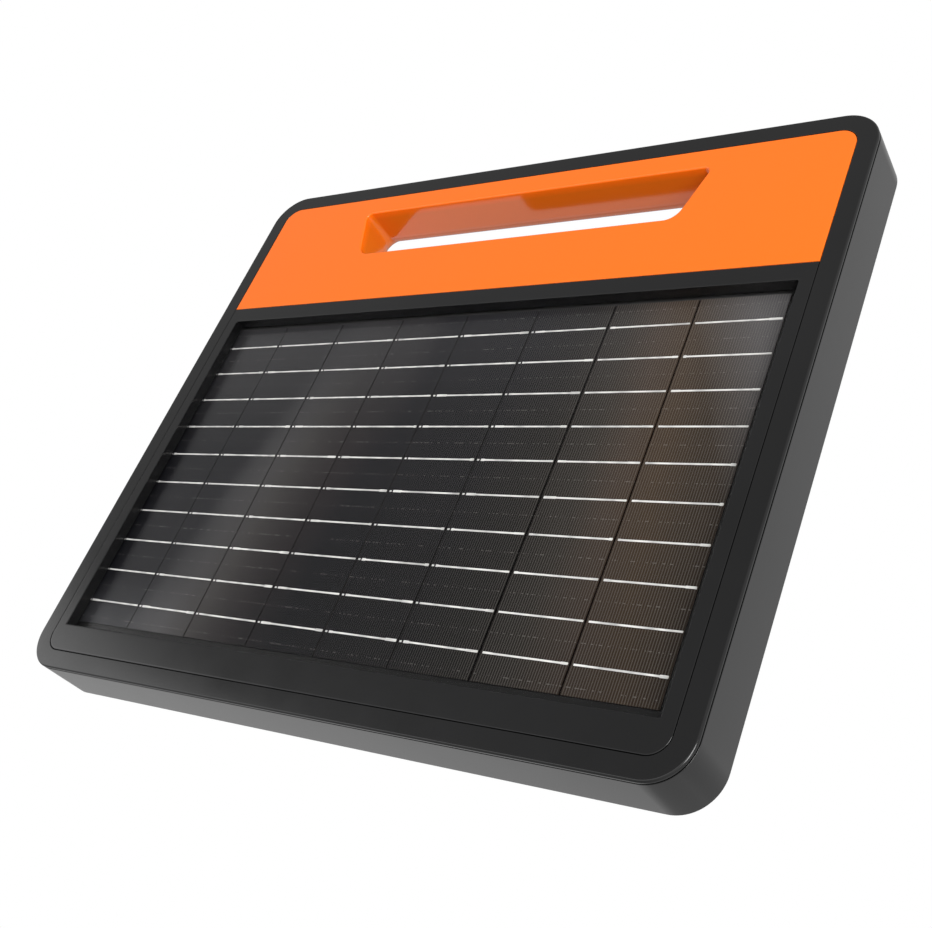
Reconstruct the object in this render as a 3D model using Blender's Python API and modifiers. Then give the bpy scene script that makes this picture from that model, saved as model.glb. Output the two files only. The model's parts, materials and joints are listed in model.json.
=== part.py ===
"""Solar fence energizer with a carry handle: a flat weatherproof case with a solar panel behind its
front window, a pulse generator and battery in a raised housing at the back, and two screw terminals.

Metres, +Z up. The case stands on its bottom edge with its front towards -Y. The origin is the middle of
the base of the whole object. Places through the thickness are given as a depth behind the front face,
which turns into a world Y in one place, the world_y function."""

import math

import bmesh
import bpy
from mathutils import Matrix, Vector

# The case.
WIDTH = 0.354
HEIGHT = 0.303
BODY_DEPTH = 0.028
HUMP_DEPTH = 0.017
CORNER_RADIUS = 0.018
WALL = 0.0025
GAP = 0.0003  # left between pieces that touch
TOTAL_DEPTH = BODY_DEPTH + HUMP_DEPTH
FRONT_Y = -TOTAL_DEPTH / 2

# The front frame, which stands flush round the two front panels.
FRAME_WIDTH = 0.009
FRAME_EDGE = 0.0014
FRAME_BACK = 0.0054
FRAME_LEDGE = 0.0128
TONGUE_INSET = 0.003
PANEL_THICKNESS = 0.0025
PANEL_INSET = FRAME_WIDTH + GAP
SPLIT_HEIGHT = 0.2198  # where the handle fascia meets the panel surround

# The window in front of the solar cells.
WINDOW_HALF_WIDTH = 0.1615
WINDOW_BOTTOM = 0.0227
WINDOW_TOP = 0.2108
WINDOW_DEPTH = 0.00575
WINDOW_WALL = 0.002

# The hand opening: a trapezoid that flares out at the back of the grip.
HANDLE_TOP = 0.2825
HANDLE_BOTTOM = 0.2526
HANDLE_HALF_TOP = 0.103
HANDLE_HALF_BOTTOM = 0.0933
HANDLE_SLOPE = (HANDLE_HALF_TOP - HANDLE_HALF_BOTTOM) / (HANDLE_TOP - HANDLE_BOTTOM)
HANDLE_TOP_RADIUS = 0.003
HANDLE_BOTTOM_RADIUS = 0.008
SLEEVE_WALL = 0.0022
FLARE = 0.009
FLARE_START = 0.0185

# The raised housing at the back.
HUMP_LEFT = -0.041
HUMP_RIGHT = 0.150
HUMP_BOTTOM = 0.048
HUMP_TOP = 0.2492
HUMP_RADIUS = 0.014

# The solar laminate.
LAMINATE_HALF_WIDTH = 0.165
LAMINATE_BOTTOM = 0.0192
LAMINATE_TOP = 0.2143
COVER_THICKNESS = 0.0008
CELL_THICKNESS = 0.0003
BACKSHEET_THICKNESS = 0.0015
CELL_COUNT = 8
CELL_PITCH = 0.0405
CELL_SPACING = 0.0008
CELL_LEFT = -0.1671
CELL_BOTTOM = 0.0279
CELL_HEIGHT = 0.182

# Circuit board and what stands on it.
BOARD_FRONT = 0.0108
BOARD_THICKNESS = 0.0016
BOARD_FACE = BOARD_FRONT + BOARD_THICKNESS + GAP
CORE_X, CORE_Z = -0.008, 0.092
BOARD_POSTS = (
    (-0.119, 0.074, 0.0265),
    (-0.119, 0.210, 0.0265),
    (0.044, 0.074, 0.0435),
    (0.089, 0.210, 0.0435),
)

# Battery: three cells lying across the hump.
BATTERY_X = 0.094
BATTERY_Z = (0.080, 0.107, 0.134)
BATTERY_DEPTH = 0.027
BATTERY_RADIUS = 0.013
BATTERY_LENGTH = 0.065
BATTERY_COVER = (0.047, 0.141, 0.053, 0.161)
COVER_PLATE_FRONT = 0.0423
COVER_SCREWS = ((BATTERY_X, 0.0585), (BATTERY_X, 0.1555))

# Push button and status light.
BUTTON_X, BUTTON_Z = 0.020, 0.205
BUTTON_RADIUS = 0.008
BUTTON_TRAVEL = 0.0015
BUTTON_HEAD_FRONT = 0.040
BUTTON_STEM_END = 0.0186
GUIDE_FLOOR = (0.030, 0.033)
LIGHT_X, LIGHT_Z = 0.072, 0.205
VENT_X, VENT_Z = 0.120, 0.205

# Screw terminals.
TERMINALS = {"fence": -0.140, "earth": -0.085}
TERMINAL_Z = 0.055
STUD_RADIUS = 0.0025
BORE_RADIUS = 0.0029
KNOB_RADIUS = 0.012
KNOB_FRONT, KNOB_BACK = 0.0313, 0.0435

# Post bracket, a steel strap with two keyholes.
BRACKET_X = -0.105
BRACKET_HALF_WIDTH = 0.030
BRACKET_SCREW_Z = (0.099, 0.231)
KEYHOLE_Z = (0.124, 0.184)
KEYHOLE_RADIUS = 0.0055
KEYHOLE_SLOT_RADIUS = 0.00275
KEYHOLE_RISE = 0.012

CASE_SCREWS = ((-0.155, 0.0096), (0.155, 0.0096), (-0.150, 0.2934), (0.150, 0.2934))

ARC_STEPS = 6
ROUND_STEPS = 24

COLOURS = {
    "case_plastic": ((0.028, 0.028, 0.029, 1), 0.45, 0.0),
    "orange_plastic": ((1.0, 0.216, 0.038, 1), 0.40, 0.0),
    "red_plastic": ((0.55, 0.02, 0.02, 1), 0.35, 0.0),
    "green_plastic": ((0.02, 0.22, 0.06, 1), 0.35, 0.0),
    "black_rubber": ((0.015, 0.015, 0.015, 1), 0.80, 0.0),
    "clear_sheet": ((0.75, 0.78, 0.80, 0.30), 0.05, 0.0),
    "silicon": ((0.012, 0.013, 0.018, 1), 0.30, 0.2),
    "dark_sheet": ((0.02, 0.02, 0.022, 1), 0.60, 0.0),
    "circuit_board": ((0.01, 0.12, 0.04, 1), 0.40, 0.0),
    "core_steel": ((0.22, 0.22, 0.23, 1), 0.45, 1.0),
    "copper": ((0.80, 0.36, 0.17, 1), 0.30, 1.0),
    "film_box": ((0.05, 0.13, 0.40, 1), 0.40, 0.0),
    "aluminium": ((0.80, 0.81, 0.82, 1), 0.35, 1.0),
    "chip_black": ((0.01, 0.01, 0.01, 1), 0.50, 0.0),
    "lens_green": ((0.45, 0.85, 0.55, 0.60), 0.15, 0.0),
    "battery_wrap": ((0.02, 0.20, 0.30, 1), 0.35, 0.0),
    "nickel": ((0.70, 0.68, 0.64, 1), 0.30, 1.0),
    "stainless": ((0.62, 0.62, 0.62, 1), 0.28, 1.0),
    "zinc_steel": ((0.55, 0.57, 0.60, 1), 0.40, 1.0),
    "lead_red": ((0.60, 0.02, 0.02, 1), 0.50, 0.0),
    "lead_black": ((0.02, 0.02, 0.02, 1), 0.50, 0.0),
}


def world_y(depth):
    return FRONT_Y + depth


# Building blocks.


def clear_scene():
    for thing in list(bpy.data.objects):
        bpy.data.objects.remove(thing, do_unlink=True)


def new_collection(name):
    group = bpy.data.collections.new(name)
    bpy.context.scene.collection.children.link(group)
    return group


def new_material(name):
    colour, roughness, metallic = COLOURS[name]
    material = bpy.data.materials.new(name)
    material.use_nodes = True
    shader = material.node_tree.nodes["Principled BSDF"]
    shader.inputs["Base Color"].default_value = colour
    shader.inputs["Roughness"].default_value = roughness
    shader.inputs["Metallic"].default_value = metallic
    shader.inputs["Alpha"].default_value = colour[3]
    material.diffuse_color = colour
    return material


def keep(solid, name, material):
    """Makes a solid a finished part of the object."""
    solid.name = name
    solid.data.materials.clear()
    solid.data.materials.append(MATERIALS[material])
    for owner in list(solid.users_collection):
        owner.objects.unlink(solid)
    PARTS.objects.link(solid)
    return solid


def combine(body, tool, operation):
    """A Boolean on body, with the tool kept as a hidden wire helper."""
    modifier = body.modifiers.new(operation.lower(), "BOOLEAN")
    modifier.operation = operation
    modifier.object = tool
    tool.hide_render = True
    tool.display_type = "WIRE"
    for owner in list(tool.users_collection):
        owner.objects.unlink(tool)
    CUTTERS.objects.link(tool)
    return body


def cut(body, *tools):
    for tool in tools:
        combine(body, tool, "DIFFERENCE")
    return body


def add(body, *tools):
    for tool in tools:
        combine(body, tool, "UNION")
    return body


def rounded_polygon(corners, radii):
    """An outline whose corners, listed anticlockwise, are each an arc of their own radius."""
    points = []
    for index, corner in enumerate(corners):
        corner = Vector(corner)
        if radii[index] == 0:
            points.append(corner)
            continue
        before = (Vector(corners[index - 1]) - corner).normalized()
        after = (Vector(corners[(index + 1) % len(corners)]) - corner).normalized()
        half = before.angle(after) / 2
        centre = corner + (before + after).normalized() * (radii[index] / math.sin(half))
        spoke = corner + before * (radii[index] / math.tan(half)) - centre
        for step in range(ARC_STEPS + 1):
            turn = (math.pi - 2 * half) * step / ARC_STEPS
            points.append(centre + Matrix.Rotation(turn, 2) @ spoke)
    return points


def rectangle(left, right, bottom, top, radius=0.0):
    corners = ((left, bottom), (right, bottom), (right, top), (left, top))
    return rounded_polygon(corners, (radius,) * 4)


def circle(x, z, radius, steps=ROUND_STEPS):
    angles = (2 * math.pi * step / steps for step in range(steps))
    return [(x + radius * math.cos(angle), z + radius * math.sin(angle)) for angle in angles]


def case_outline(inset):
    """The outline of the case seen from the front, drawn in by a distance."""
    half = WIDTH / 2 - inset
    return rectangle(-half, half, inset, HEIGHT - inset, CORNER_RADIUS - inset)


def handle_outline(side, top, bottom):
    """The hand opening, grown by a distance at its sides, its top and its bottom."""
    slant = side * math.sqrt(1 + HANDLE_SLOPE**2)
    low, high = HANDLE_BOTTOM - bottom, HANDLE_TOP + top
    half_low = HANDLE_HALF_BOTTOM - HANDLE_SLOPE * bottom + slant
    half_high = HANDLE_HALF_TOP + HANDLE_SLOPE * top + slant
    corners = ((-half_low, low), (half_low, low), (half_high, high), (-half_high, high))
    low_radius = HANDLE_BOTTOM_RADIUS + min(side, bottom)
    high_radius = HANDLE_TOP_RADIUS + min(side, top)
    return rounded_polygon(corners, (low_radius, low_radius, high_radius, high_radius))


def mesh_of(curve_object):
    """Turns a curve object into a mesh object with its caps welded on."""
    bpy.context.scene.collection.objects.link(curve_object)
    bpy.context.view_layer.update()
    graph = bpy.context.evaluated_depsgraph_get()
    mesh = bpy.data.meshes.new_from_object(curve_object.evaluated_get(graph))
    shape = bmesh.new()
    shape.from_mesh(mesh)
    bmesh.ops.remove_doubles(shape, verts=shape.verts, dist=1e-6)
    bmesh.ops.recalc_face_normals(shape, faces=shape.faces)
    shape.to_mesh(mesh)
    shape.free()
    solid = bpy.data.objects.new(curve_object.name, mesh)
    solid.matrix_world = curve_object.matrix_world
    bpy.context.scene.collection.objects.link(solid)
    bpy.data.objects.remove(curve_object, do_unlink=True)
    return solid


def plate(outlines, low, high, axis="Y"):
    """A flat sheet between two depths (axis Y), two widths (axis X) or two heights (axis Z). Outlines after
    the first are holes. Outline points are (x, z) for axis Y, (depth, z) for X and (x, depth) for Z."""
    curve = bpy.data.curves.new("plate", "CURVE")
    curve.dimensions = "2D"
    curve.fill_mode = "BOTH"
    curve.extrude = (high - low) / 2
    for outline in outlines:
        spline = curve.splines.new("POLY")
        spline.points.add(len(outline) - 1)
        for point, (u, v) in zip(spline.points, outline):
            point.co = (u, v, 0, 1)
        spline.use_cyclic_u = True
    sheet = bpy.data.objects.new("plate", curve)
    middle = (low + high) / 2
    if axis == "Y":
        sheet.rotation_euler = (math.pi / 2, 0, 0)
        sheet.location = (0, world_y(middle), 0)
    elif axis == "X":
        sheet.rotation_euler = (math.pi / 2, 0, math.pi / 2)
        sheet.location = (middle, FRONT_Y, 0)
    else:
        sheet.location = (0, FRONT_Y, middle)
    return mesh_of(sheet)


def box(left, right, bottom, top, front, back):
    bpy.ops.mesh.primitive_cube_add(size=1)
    block = bpy.context.object
    block.location = ((left + right) / 2, world_y((front + back) / 2), (bottom + top) / 2)
    block.data.transform(Matrix.Diagonal((right - left, back - front, top - bottom, 1)))
    return block


def rod(x, z, radius, front, back, steps=ROUND_STEPS):
    """A cylinder that runs front to back."""
    bpy.ops.mesh.primitive_cylinder_add(vertices=steps, radius=radius, depth=back - front)
    shaft = bpy.context.object
    shaft.rotation_euler = (math.pi / 2, 0, 0)
    shaft.location = (x, world_y((front + back) / 2), z)
    shaft.data.shade_smooth()
    shaft.data.set_sharp_from_angle(angle=math.radians(40))
    return shaft


def turned(profile, x, z, steps=ROUND_STEPS):
    """A turned piece whose axis runs front to back, from a profile of (radius, depth), back end first."""
    mesh = bpy.data.meshes.new("turned")
    points = [(radius, 0, depth) for radius, depth in profile]
    mesh.from_pydata(points, [(i, i + 1) for i in range(len(points) - 1)], [])
    piece = bpy.data.objects.new("turned", mesh)
    piece.rotation_euler = (-math.pi / 2, 0, 0)
    piece.location = (x, FRONT_Y, z)
    screw = piece.modifiers.new("turn", "SCREW")
    screw.steps = steps
    screw.render_steps = steps
    screw.use_merge_vertices = True
    screw.merge_threshold = 1e-5
    return piece


def smooth_route(points, spacing):
    """Points about a spacing apart on a Catmull-Rom curve through the route's own points."""
    route = [Vector(point) for point in points]
    ends = [2 * route[0] - route[1], *route, 2 * route[-1] - route[-2]]
    result = []
    for a, b, c, d in zip(ends, ends[1:], ends[2:], ends[3:]):
        count = max(2, round((c - b).length / spacing))
        for step in range(count):
            t = step / count
            linear = (c - a) * t
            square = (2 * a - 5 * b + 4 * c - d) * t**2
            cube = (3 * b - 3 * c + d - a) * t**3
            result.append(b + (linear + square + cube) / 2)
    result.append(route[-1])
    return result


def wire(points, radius):
    """A round wire along points given as (x, depth, z)."""
    curve = bpy.data.curves.new("wire", "CURVE")
    curve.dimensions = "3D"
    curve.bevel_depth = radius
    curve.bevel_resolution = 2
    curve.use_fill_caps = True
    spline = curve.splines.new("POLY")
    spline.points.add(len(points) - 1)
    for point, (x, depth, z) in zip(spline.points, points):
        point.co = (x, world_y(depth), z, 1)
    return mesh_of(bpy.data.objects.new("wire", curve))


def flare_cutter():
    """The space in the flared back end of the hand opening, which opens out along a quarter ellipse."""
    stations = [(0.0, FLARE_START - 0.004)]
    for step in range(ARC_STEPS + 1):
        turn = math.pi / 2 * step / ARC_STEPS
        reach = (BODY_DEPTH - FLARE_START) * math.sin(turn)
        stations.append((FLARE * (1 - math.cos(turn)), FLARE_START + reach))
    stations.append((FLARE, BODY_DEPTH + 0.002))
    shape = bmesh.new()
    rings = []
    for grow, depth in stations:
        outline = handle_outline(grow, grow, 0)
        rings.append([shape.verts.new((x, world_y(depth), z)) for x, z in outline])
    for near, far in zip(rings, rings[1:]):
        for i in range(len(near)):
            shape.faces.new((near[i - 1], near[i], far[i], far[i - 1]))
    shape.faces.new(rings[0])
    shape.faces.new(rings[-1])
    bmesh.ops.recalc_face_normals(shape, faces=shape.faces)
    mesh = bpy.data.meshes.new("flare")
    shape.to_mesh(mesh)
    shape.free()
    return bpy.data.objects.new("flare", mesh)


# The shells.


def front_frame():
    """The outer front ring, with a ledge that carries the front panels and four posts for the screws."""
    ring = plate([case_outline(0), case_outline(FRAME_LEDGE)], 0, FRAME_BACK)
    cut(ring, plate([case_outline(FRAME_WIDTH)], -WALL, PANEL_THICKNESS + GAP))
    cut(ring, plate([case_outline(-WALL), case_outline(TONGUE_INSET)], FRAME_EDGE, 2 * FRAME_BACK))
    for x, z in CASE_SCREWS:
        add(ring, rod(x, z, 0.0034, 0.004, 0.015))
    for x, z in CASE_SCREWS:
        cut(ring, rod(x, z, 0.0018, 0.0062, 0.020, 12))
    keep(ring, "front_frame", "case_plastic")


def handle_fascia():
    """The orange panel above the window, with the hand opening's sleeve, which reaches the case's back."""
    half = WIDTH / 2 - PANEL_INSET
    top = HEIGHT - PANEL_INSET
    radius = CORNER_RADIUS - PANEL_INSET
    bottom = SPLIT_HEIGHT + GAP / 2
    corners = ((-half, bottom), (half, bottom), (half, top), (-half, top))
    panel = plate([rounded_polygon(corners, (0, 0, radius, radius))], 0, PANEL_THICKNESS)
    grip = SLEEVE_WALL
    add(panel, plate([handle_outline(grip, grip, grip)], PANEL_THICKNESS / 2, 0.020))
    flange = FLARE + grip
    add(panel, plate([handle_outline(flange, flange, grip)], 0.0165, BODY_DEPTH))
    cut(panel, plate([handle_outline(0, 0, 0)], -WALL, BODY_DEPTH + WALL))
    cut(panel, flare_cutter())
    keep(panel, "handle_fascia", "orange_plastic")


def panel_surround():
    """The black front panel with the window. Its recess wall reaches back to the solar laminate."""
    half = WIDTH / 2 - PANEL_INSET
    radius = CORNER_RADIUS - PANEL_INSET
    top = SPLIT_HEIGHT - GAP / 2
    corners = ((-half, PANEL_INSET), (half, PANEL_INSET), (half, top), (-half, top))
    panel = plate([rounded_polygon(corners, (radius, radius, 0, 0))], 0, PANEL_THICKNESS)
    wall = WINDOW_WALL
    outside = rectangle(
        -WINDOW_HALF_WIDTH - wall, WINDOW_HALF_WIDTH + wall, WINDOW_BOTTOM - wall, WINDOW_TOP + wall
    )
    add(panel, plate([outside], PANEL_THICKNESS / 2, WINDOW_DEPTH - GAP))
    tongue_front = PANEL_THICKNESS + GAP
    add(panel, box(-0.150, 0.150, 0.2116, 0.2250, tongue_front, tongue_front + 0.002))
    window = rectangle(-WINDOW_HALF_WIDTH, WINDOW_HALF_WIDTH, WINDOW_BOTTOM, WINDOW_TOP)
    cut(panel, plate([window], -WALL, 2 * WINDOW_DEPTH))
    keep(panel, "panel_surround", "case_plastic")


def rear_housing():
    """The back shell: side walls, back, the raised housing and every boss, hole and pocket in them."""
    shell = plate([case_outline(0)], FRAME_EDGE + GAP, BODY_DEPTH)
    hump = rectangle(HUMP_LEFT, HUMP_RIGHT, HUMP_BOTTOM, HUMP_TOP, HUMP_RADIUS)
    add(shell, plate([hump], 0.020, TOTAL_DEPTH))
    seal_ledge = 0.0075
    cut(shell, plate([case_outline(WALL)], -WALL, seal_ledge))
    cut(shell, plate([case_outline(0.0055)], 0.006, 0.011))
    cut(shell, plate([case_outline(WALL)], 0.0095, BODY_DEPTH - WALL))
    inner_radius = HUMP_RADIUS - WALL
    hollow = rectangle(
        HUMP_LEFT + WALL, HUMP_RIGHT - WALL, HUMP_BOTTOM + WALL, HUMP_TOP - WALL, inner_radius
    )
    cut(shell, plate([hollow], 0.024, TOTAL_DEPTH - WALL))
    flange = FLARE + SLEEVE_WALL + GAP
    cut(shell, plate([handle_outline(flange, flange, SLEEVE_WALL + GAP)], 0.022, 0.030))
    bosses(shell)
    battery_opening(shell)
    button_and_light_openings(shell)
    terminal_holes(shell)
    keep(shell, "rear_housing", "case_plastic")


def bosses(shell):
    for x, z, back in BOARD_POSTS:
        add(shell, rod(x, z, 0.0030, BOARD_FACE, back, 12))
    for x, z in CASE_SCREWS:
        add(shell, rod(x, z, 0.0040, 0.0155, 0.0265))
    for x, z in CASE_SCREWS:
        cut(shell, rod(x, z, 0.0021, 0.010, 0.026, 12))
        cut(shell, rod(x, z, 0.0036, 0.0251, 0.030))


def battery_opening(shell):
    """A thick rim inside the raised housing, a pocket for the cover, its seal's groove, and the opening."""
    left, right, bottom, top = BATTERY_COVER
    add(shell, box(left - 0.003, right + 0.003, bottom - 0.003, top + 0.003, 0.0385, 0.0435))
    for x, z in COVER_SCREWS:
        add(shell, rod(x, z, 0.0034, 0.0340, 0.0400, 16))
    pocket = rectangle(left - GAP, right + GAP, bottom - GAP, top + GAP, 0.005)
    cut(shell, plate([pocket], COVER_PLATE_FRONT - GAP, TOTAL_DEPTH + WALL))
    outer, inner = cover_seal_outlines(GAP)
    cut(shell, plate([outer, inner], 0.0405, COVER_PLATE_FRONT))
    opening = rectangle(left + 0.012, right - 0.012, bottom + 0.012, top - 0.012, 0.003)
    cut(shell, plate([opening], 0.030, TOTAL_DEPTH))
    for x, z in COVER_SCREWS:
        cut(shell, rod(x, z, 0.0016, 0.0300, COVER_PLATE_FRONT, 12))


def cover_seal_outlines(slack):
    """The seal's two outlines, let out by some slack on both sides for its groove."""
    left, right, bottom, top = BATTERY_COVER
    outlines = []
    for inset, let_out in ((0.0085, -slack), (0.0105, slack)):
        edge = inset + let_out
        outlines.append(rectangle(left + edge, right - edge, bottom + edge, top - edge, 0.003))
    return outlines


def button_and_light_openings(shell):
    hole = BUTTON_RADIUS + GAP
    floor_front, floor_back = GUIDE_FLOOR
    add(shell, rod(BUTTON_X, BUTTON_Z, hole + 0.002, floor_front, 0.0435))
    cut(shell, rod(BUTTON_X, BUTTON_Z, hole, floor_back, TOTAL_DEPTH + WALL))
    cut(shell, rod(BUTTON_X, BUTTON_Z, 0.0033, floor_front - WALL, floor_back + WALL))
    cut(shell, box(*light_sides(GAP), 0.035, TOTAL_DEPTH + WALL))
    cut(shell, rod(VENT_X, VENT_Z, 0.0043, 0.035, TOTAL_DEPTH))
    cut(shell, rod(VENT_X, VENT_Z, 0.0073, TOTAL_DEPTH - 0.0012, TOTAL_DEPTH + WALL))


def light_sides(slack):
    half_width, half_height = 0.012 + slack, 0.003 + slack
    return (
        LIGHT_X - half_width,
        LIGHT_X + half_width,
        LIGHT_Z - half_height,
        LIGHT_Z + half_height,
    )


def terminal_holes(shell):
    for x in TERMINALS.values():
        add(shell, rod(x, TERMINAL_Z, 0.013, 0.027, 0.0295))
        cut(shell, rod(x, TERMINAL_Z, BORE_RADIUS, 0.020, 0.032))
    for z in BRACKET_SCREW_Z:
        add(shell, rod(BRACKET_X, z, 0.0040, 0.0170, 0.0265, 16))
        cut(shell, rod(BRACKET_X, z, 0.0019, 0.0160, 0.030, 12))


def housing_seal():
    ring = plate([case_outline(0.0032), case_outline(0.0052)], 0.0057, 0.0072)
    keep(ring, "housing_seal", "black_rubber")


def case_screws():
    """Pan-head screws from the back, through the housing's bosses into the front frame's posts."""
    head, neck, tip = 0.0278, 0.0254, 0.0065
    profile = ((0, head), (0.0026, head), (0.0032, head - 0.0006), (0.0032, neck), (0.0015, neck))
    profile += ((0.0015, tip + 0.0015), (0, tip))
    for number, (x, z) in enumerate(CASE_SCREWS, 1):
        keep(turned(profile, x, z, 16), f"case_screw_{number}", "stainless")


# The solar laminate.


def solar_laminate():
    front = WINDOW_DEPTH
    half = LAMINATE_HALF_WIDTH
    sides = (-half, half, LAMINATE_BOTTOM, LAMINATE_TOP)
    keep(box(*sides, front, front + COVER_THICKNESS), "panel_cover", "clear_sheet")
    cell_front = front + COVER_THICKNESS + GAP
    cell_back = cell_front + CELL_THICKNESS
    for column in range(CELL_COUNT):
        left = CELL_LEFT + CELL_PITCH * column + CELL_SPACING / 2
        right = left + CELL_PITCH - CELL_SPACING
        left = max(left, -half + GAP)
        cell = box(left, right, CELL_BOTTOM, CELL_BOTTOM + CELL_HEIGHT, cell_front, cell_back)
        keep(cell, f"solar_cell_{column + 1}", "silicon")
    sheet_front = cell_back + GAP
    sheet_back = sheet_front + BACKSHEET_THICKNESS
    keep(box(*sides, sheet_front, sheet_back), "panel_backsheet", "dark_sheet")
    seal = 0.003
    low, high = LAMINATE_BOTTOM - GAP, LAMINATE_TOP + GAP
    inner = rectangle(-half - GAP, half + GAP, low, high)
    outer = rectangle(-half - GAP - seal, half + GAP + seal, low - seal, high + seal, 0.002)
    keep(plate([outer, inner], front, sheet_back), "panel_gasket", "black_rubber")
    junction = box(-0.158, -0.132, 0.150, 0.180, sheet_back + GAP, 0.0160)
    keep(junction, "junction_box", "chip_black")
    lead = ((-0.1305, 0.0133, 0.165), (-0.126, 0.0155, 0.166), (-0.118, 0.0145, 0.168))
    keep(wire(smooth_route(lead, 0.0025), 0.0014), "panel_lead", "lead_black")


# Circuit board and pulse generator.


def circuit_board():
    left, step, right = -0.125, 0.050, 0.095
    low, shelf, high = 0.068, 0.156, 0.216
    corners = ((left, low), (step, low), (step, shelf), (right, shelf), (right, high), (left, high))
    outline = rounded_polygon(corners, (0.002,) * len(corners))
    board = plate([outline], BOARD_FRONT, BOARD_FRONT + BOARD_THICKNESS)
    keep(board, "main_board", "circuit_board")
    keep(box(-0.082, -0.068, 0.135, 0.149, BOARD_FACE, BOARD_FACE + 0.0015), "control_chip", "chip_black")
    bpy.ops.mesh.primitive_torus_add(
        major_segments=24, minor_segments=10, major_radius=0.009, minor_radius=0.004
    )
    coil = bpy.context.object
    coil.rotation_euler = (math.pi / 2, 0, 0)
    coil.location = (-0.098, world_y(BOARD_FACE + 0.004), 0.185)
    keep(coil, "charge_inductor", "copper")
    for number, left in enumerate((-0.034, -0.003), 1):
        capacitor = box(left, left + 0.027, 0.125, 0.167, BOARD_FACE, 0.037)
        keep(capacitor, f"storage_capacitor_{number}", "film_box")


def pulse_transformer():
    """A laminated core with two windows, and the winding round its middle leg."""
    core_front, core_back = 0.020, 0.034
    half_width, half_height, yoke = 0.022, 0.020, 0.0065
    leg, window = 0.007, 0.0155
    low, high = CORE_Z - half_height, CORE_Z + half_height
    outline = rectangle(CORE_X - half_width, CORE_X + half_width, low, high)
    low, high = low + yoke, high - yoke
    left_window = rectangle(CORE_X - window, CORE_X - leg, low, high)
    right_window = rectangle(CORE_X + leg, CORE_X + window, low, high)
    core = plate([outline, left_window, right_window], core_front, core_back)
    keep(core, "transformer_core", "core_steel")
    outer = rectangle(CORE_X - window + GAP, CORE_X + window - GAP, BOARD_FACE, 0.0407, 0.003)
    inner = rectangle(CORE_X - leg - GAP, CORE_X + leg + GAP, core_front - GAP, core_back + GAP)
    winding = plate([outer, inner], low + GAP, high - GAP, "Z")
    keep(winding, "transformer_winding", "copper")


def heat_sink():
    """An extruded comb of fins, with the switching thyristor against its flat side."""
    left, right, base = -0.078, -0.053, 0.003
    tip, fins = 0.024, 5
    fin = (right - left) / (2 * fins - 1)
    outline = [(left, BOARD_FACE), (right, BOARD_FACE)]
    for index in range(fins):
        near = right - 2 * index * fin
        outline += [(near, tip), (near - fin, tip)]
        if index < fins - 1:
            outline += [(near - fin, BOARD_FACE + base), (near - 2 * fin, BOARD_FACE + base)]
    keep(plate([outline], 0.078, 0.116, "Z"), "heat_sink", "aluminium")
    thyristor = box(right + GAP, right + GAP + 0.0045, 0.089, 0.104, BOARD_FACE, 0.0235)
    keep(thyristor, "switching_thyristor", "chip_black")


# Battery.


def battery():
    half = BATTERY_LENGTH / 2
    for number, z in enumerate(BATTERY_Z, 1):
        bpy.ops.mesh.primitive_cylinder_add(
            vertices=ROUND_STEPS, radius=BATTERY_RADIUS, depth=BATTERY_LENGTH
        )
        cell = bpy.context.object
        cell.rotation_euler = (0, math.pi / 2, 0)
        cell.location = (BATTERY_X, world_y(BATTERY_DEPTH), z)
        cell.data.shade_smooth()
        cell.data.set_sharp_from_angle(angle=math.radians(40))
        keep(cell, f"battery_cell_{number}", "battery_wrap")
    low, high = BATTERY_Z[0] - BATTERY_RADIUS, BATTERY_Z[-1] + BATTERY_RADIUS
    room, wall = 0.0012, 0.0018
    pocket = box(
        BATTERY_X - half - room, BATTERY_X + half + room, low - room, high + room, 0.0133, 0.040
    )
    shelf = room + wall
    tray = box(
        BATTERY_X - half - shelf, BATTERY_X + half + shelf, low - shelf, high + shelf, 0.0115, 0.030
    )
    keep(cut(tray, pocket), "battery_tray", "case_plastic")
    for name, side in (("battery_link_left", -1), ("battery_link_right", 1)):
        near = BATTERY_X + side * (half + GAP)
        far = near + side * 0.0004
        link = box(min(near, far), max(near, far), 0.075, 0.139, 0.022, 0.032)
        keep(link, name, "nickel")
    keep(box(0.060, 0.110, 0.168, 0.192, 0.0200, 0.0216), "battery_board", "circuit_board")
    lead = ((0.066, 0.0187, 0.170), (0.060, 0.0165, 0.168), (0.052, 0.0150, 0.165), (0.044, 0.0142, 0.161))
    keep(wire(smooth_route(lead, 0.003), 0.0013), "battery_lead", "lead_red")


def battery_cover():
    left, right, bottom, top = BATTERY_COVER
    cover = plate([rectangle(left, right, bottom, top, 0.0047)], COVER_PLATE_FRONT, TOTAL_DEPTH)
    for x, z in COVER_SCREWS:
        cut(cover, rod(x, z, 0.0017, 0.040, 0.050, 12))
        cut(cover, rod(x, z, 0.0031, TOTAL_DEPTH - 0.0014, 0.050))
    keep(cover, "battery_cover", "case_plastic")
    seal = plate(cover_seal_outlines(0), 0.0408, COVER_PLATE_FRONT - GAP)
    keep(seal, "battery_cover_seal", "black_rubber")
    head, neck, tip = TOTAL_DEPTH - 0.0001, TOTAL_DEPTH - 0.0011, 0.0345
    profile = ((0, head), (0.0027, head), (0.0027, neck), (0.0013, neck), (0.0013, tip), (0, tip - 0.001))
    for number, (x, z) in enumerate(COVER_SCREWS, 1):
        keep(turned(profile, x, z, 16), f"battery_cover_screw_{number}", "stainless")


# Button, status light and vent.


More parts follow.
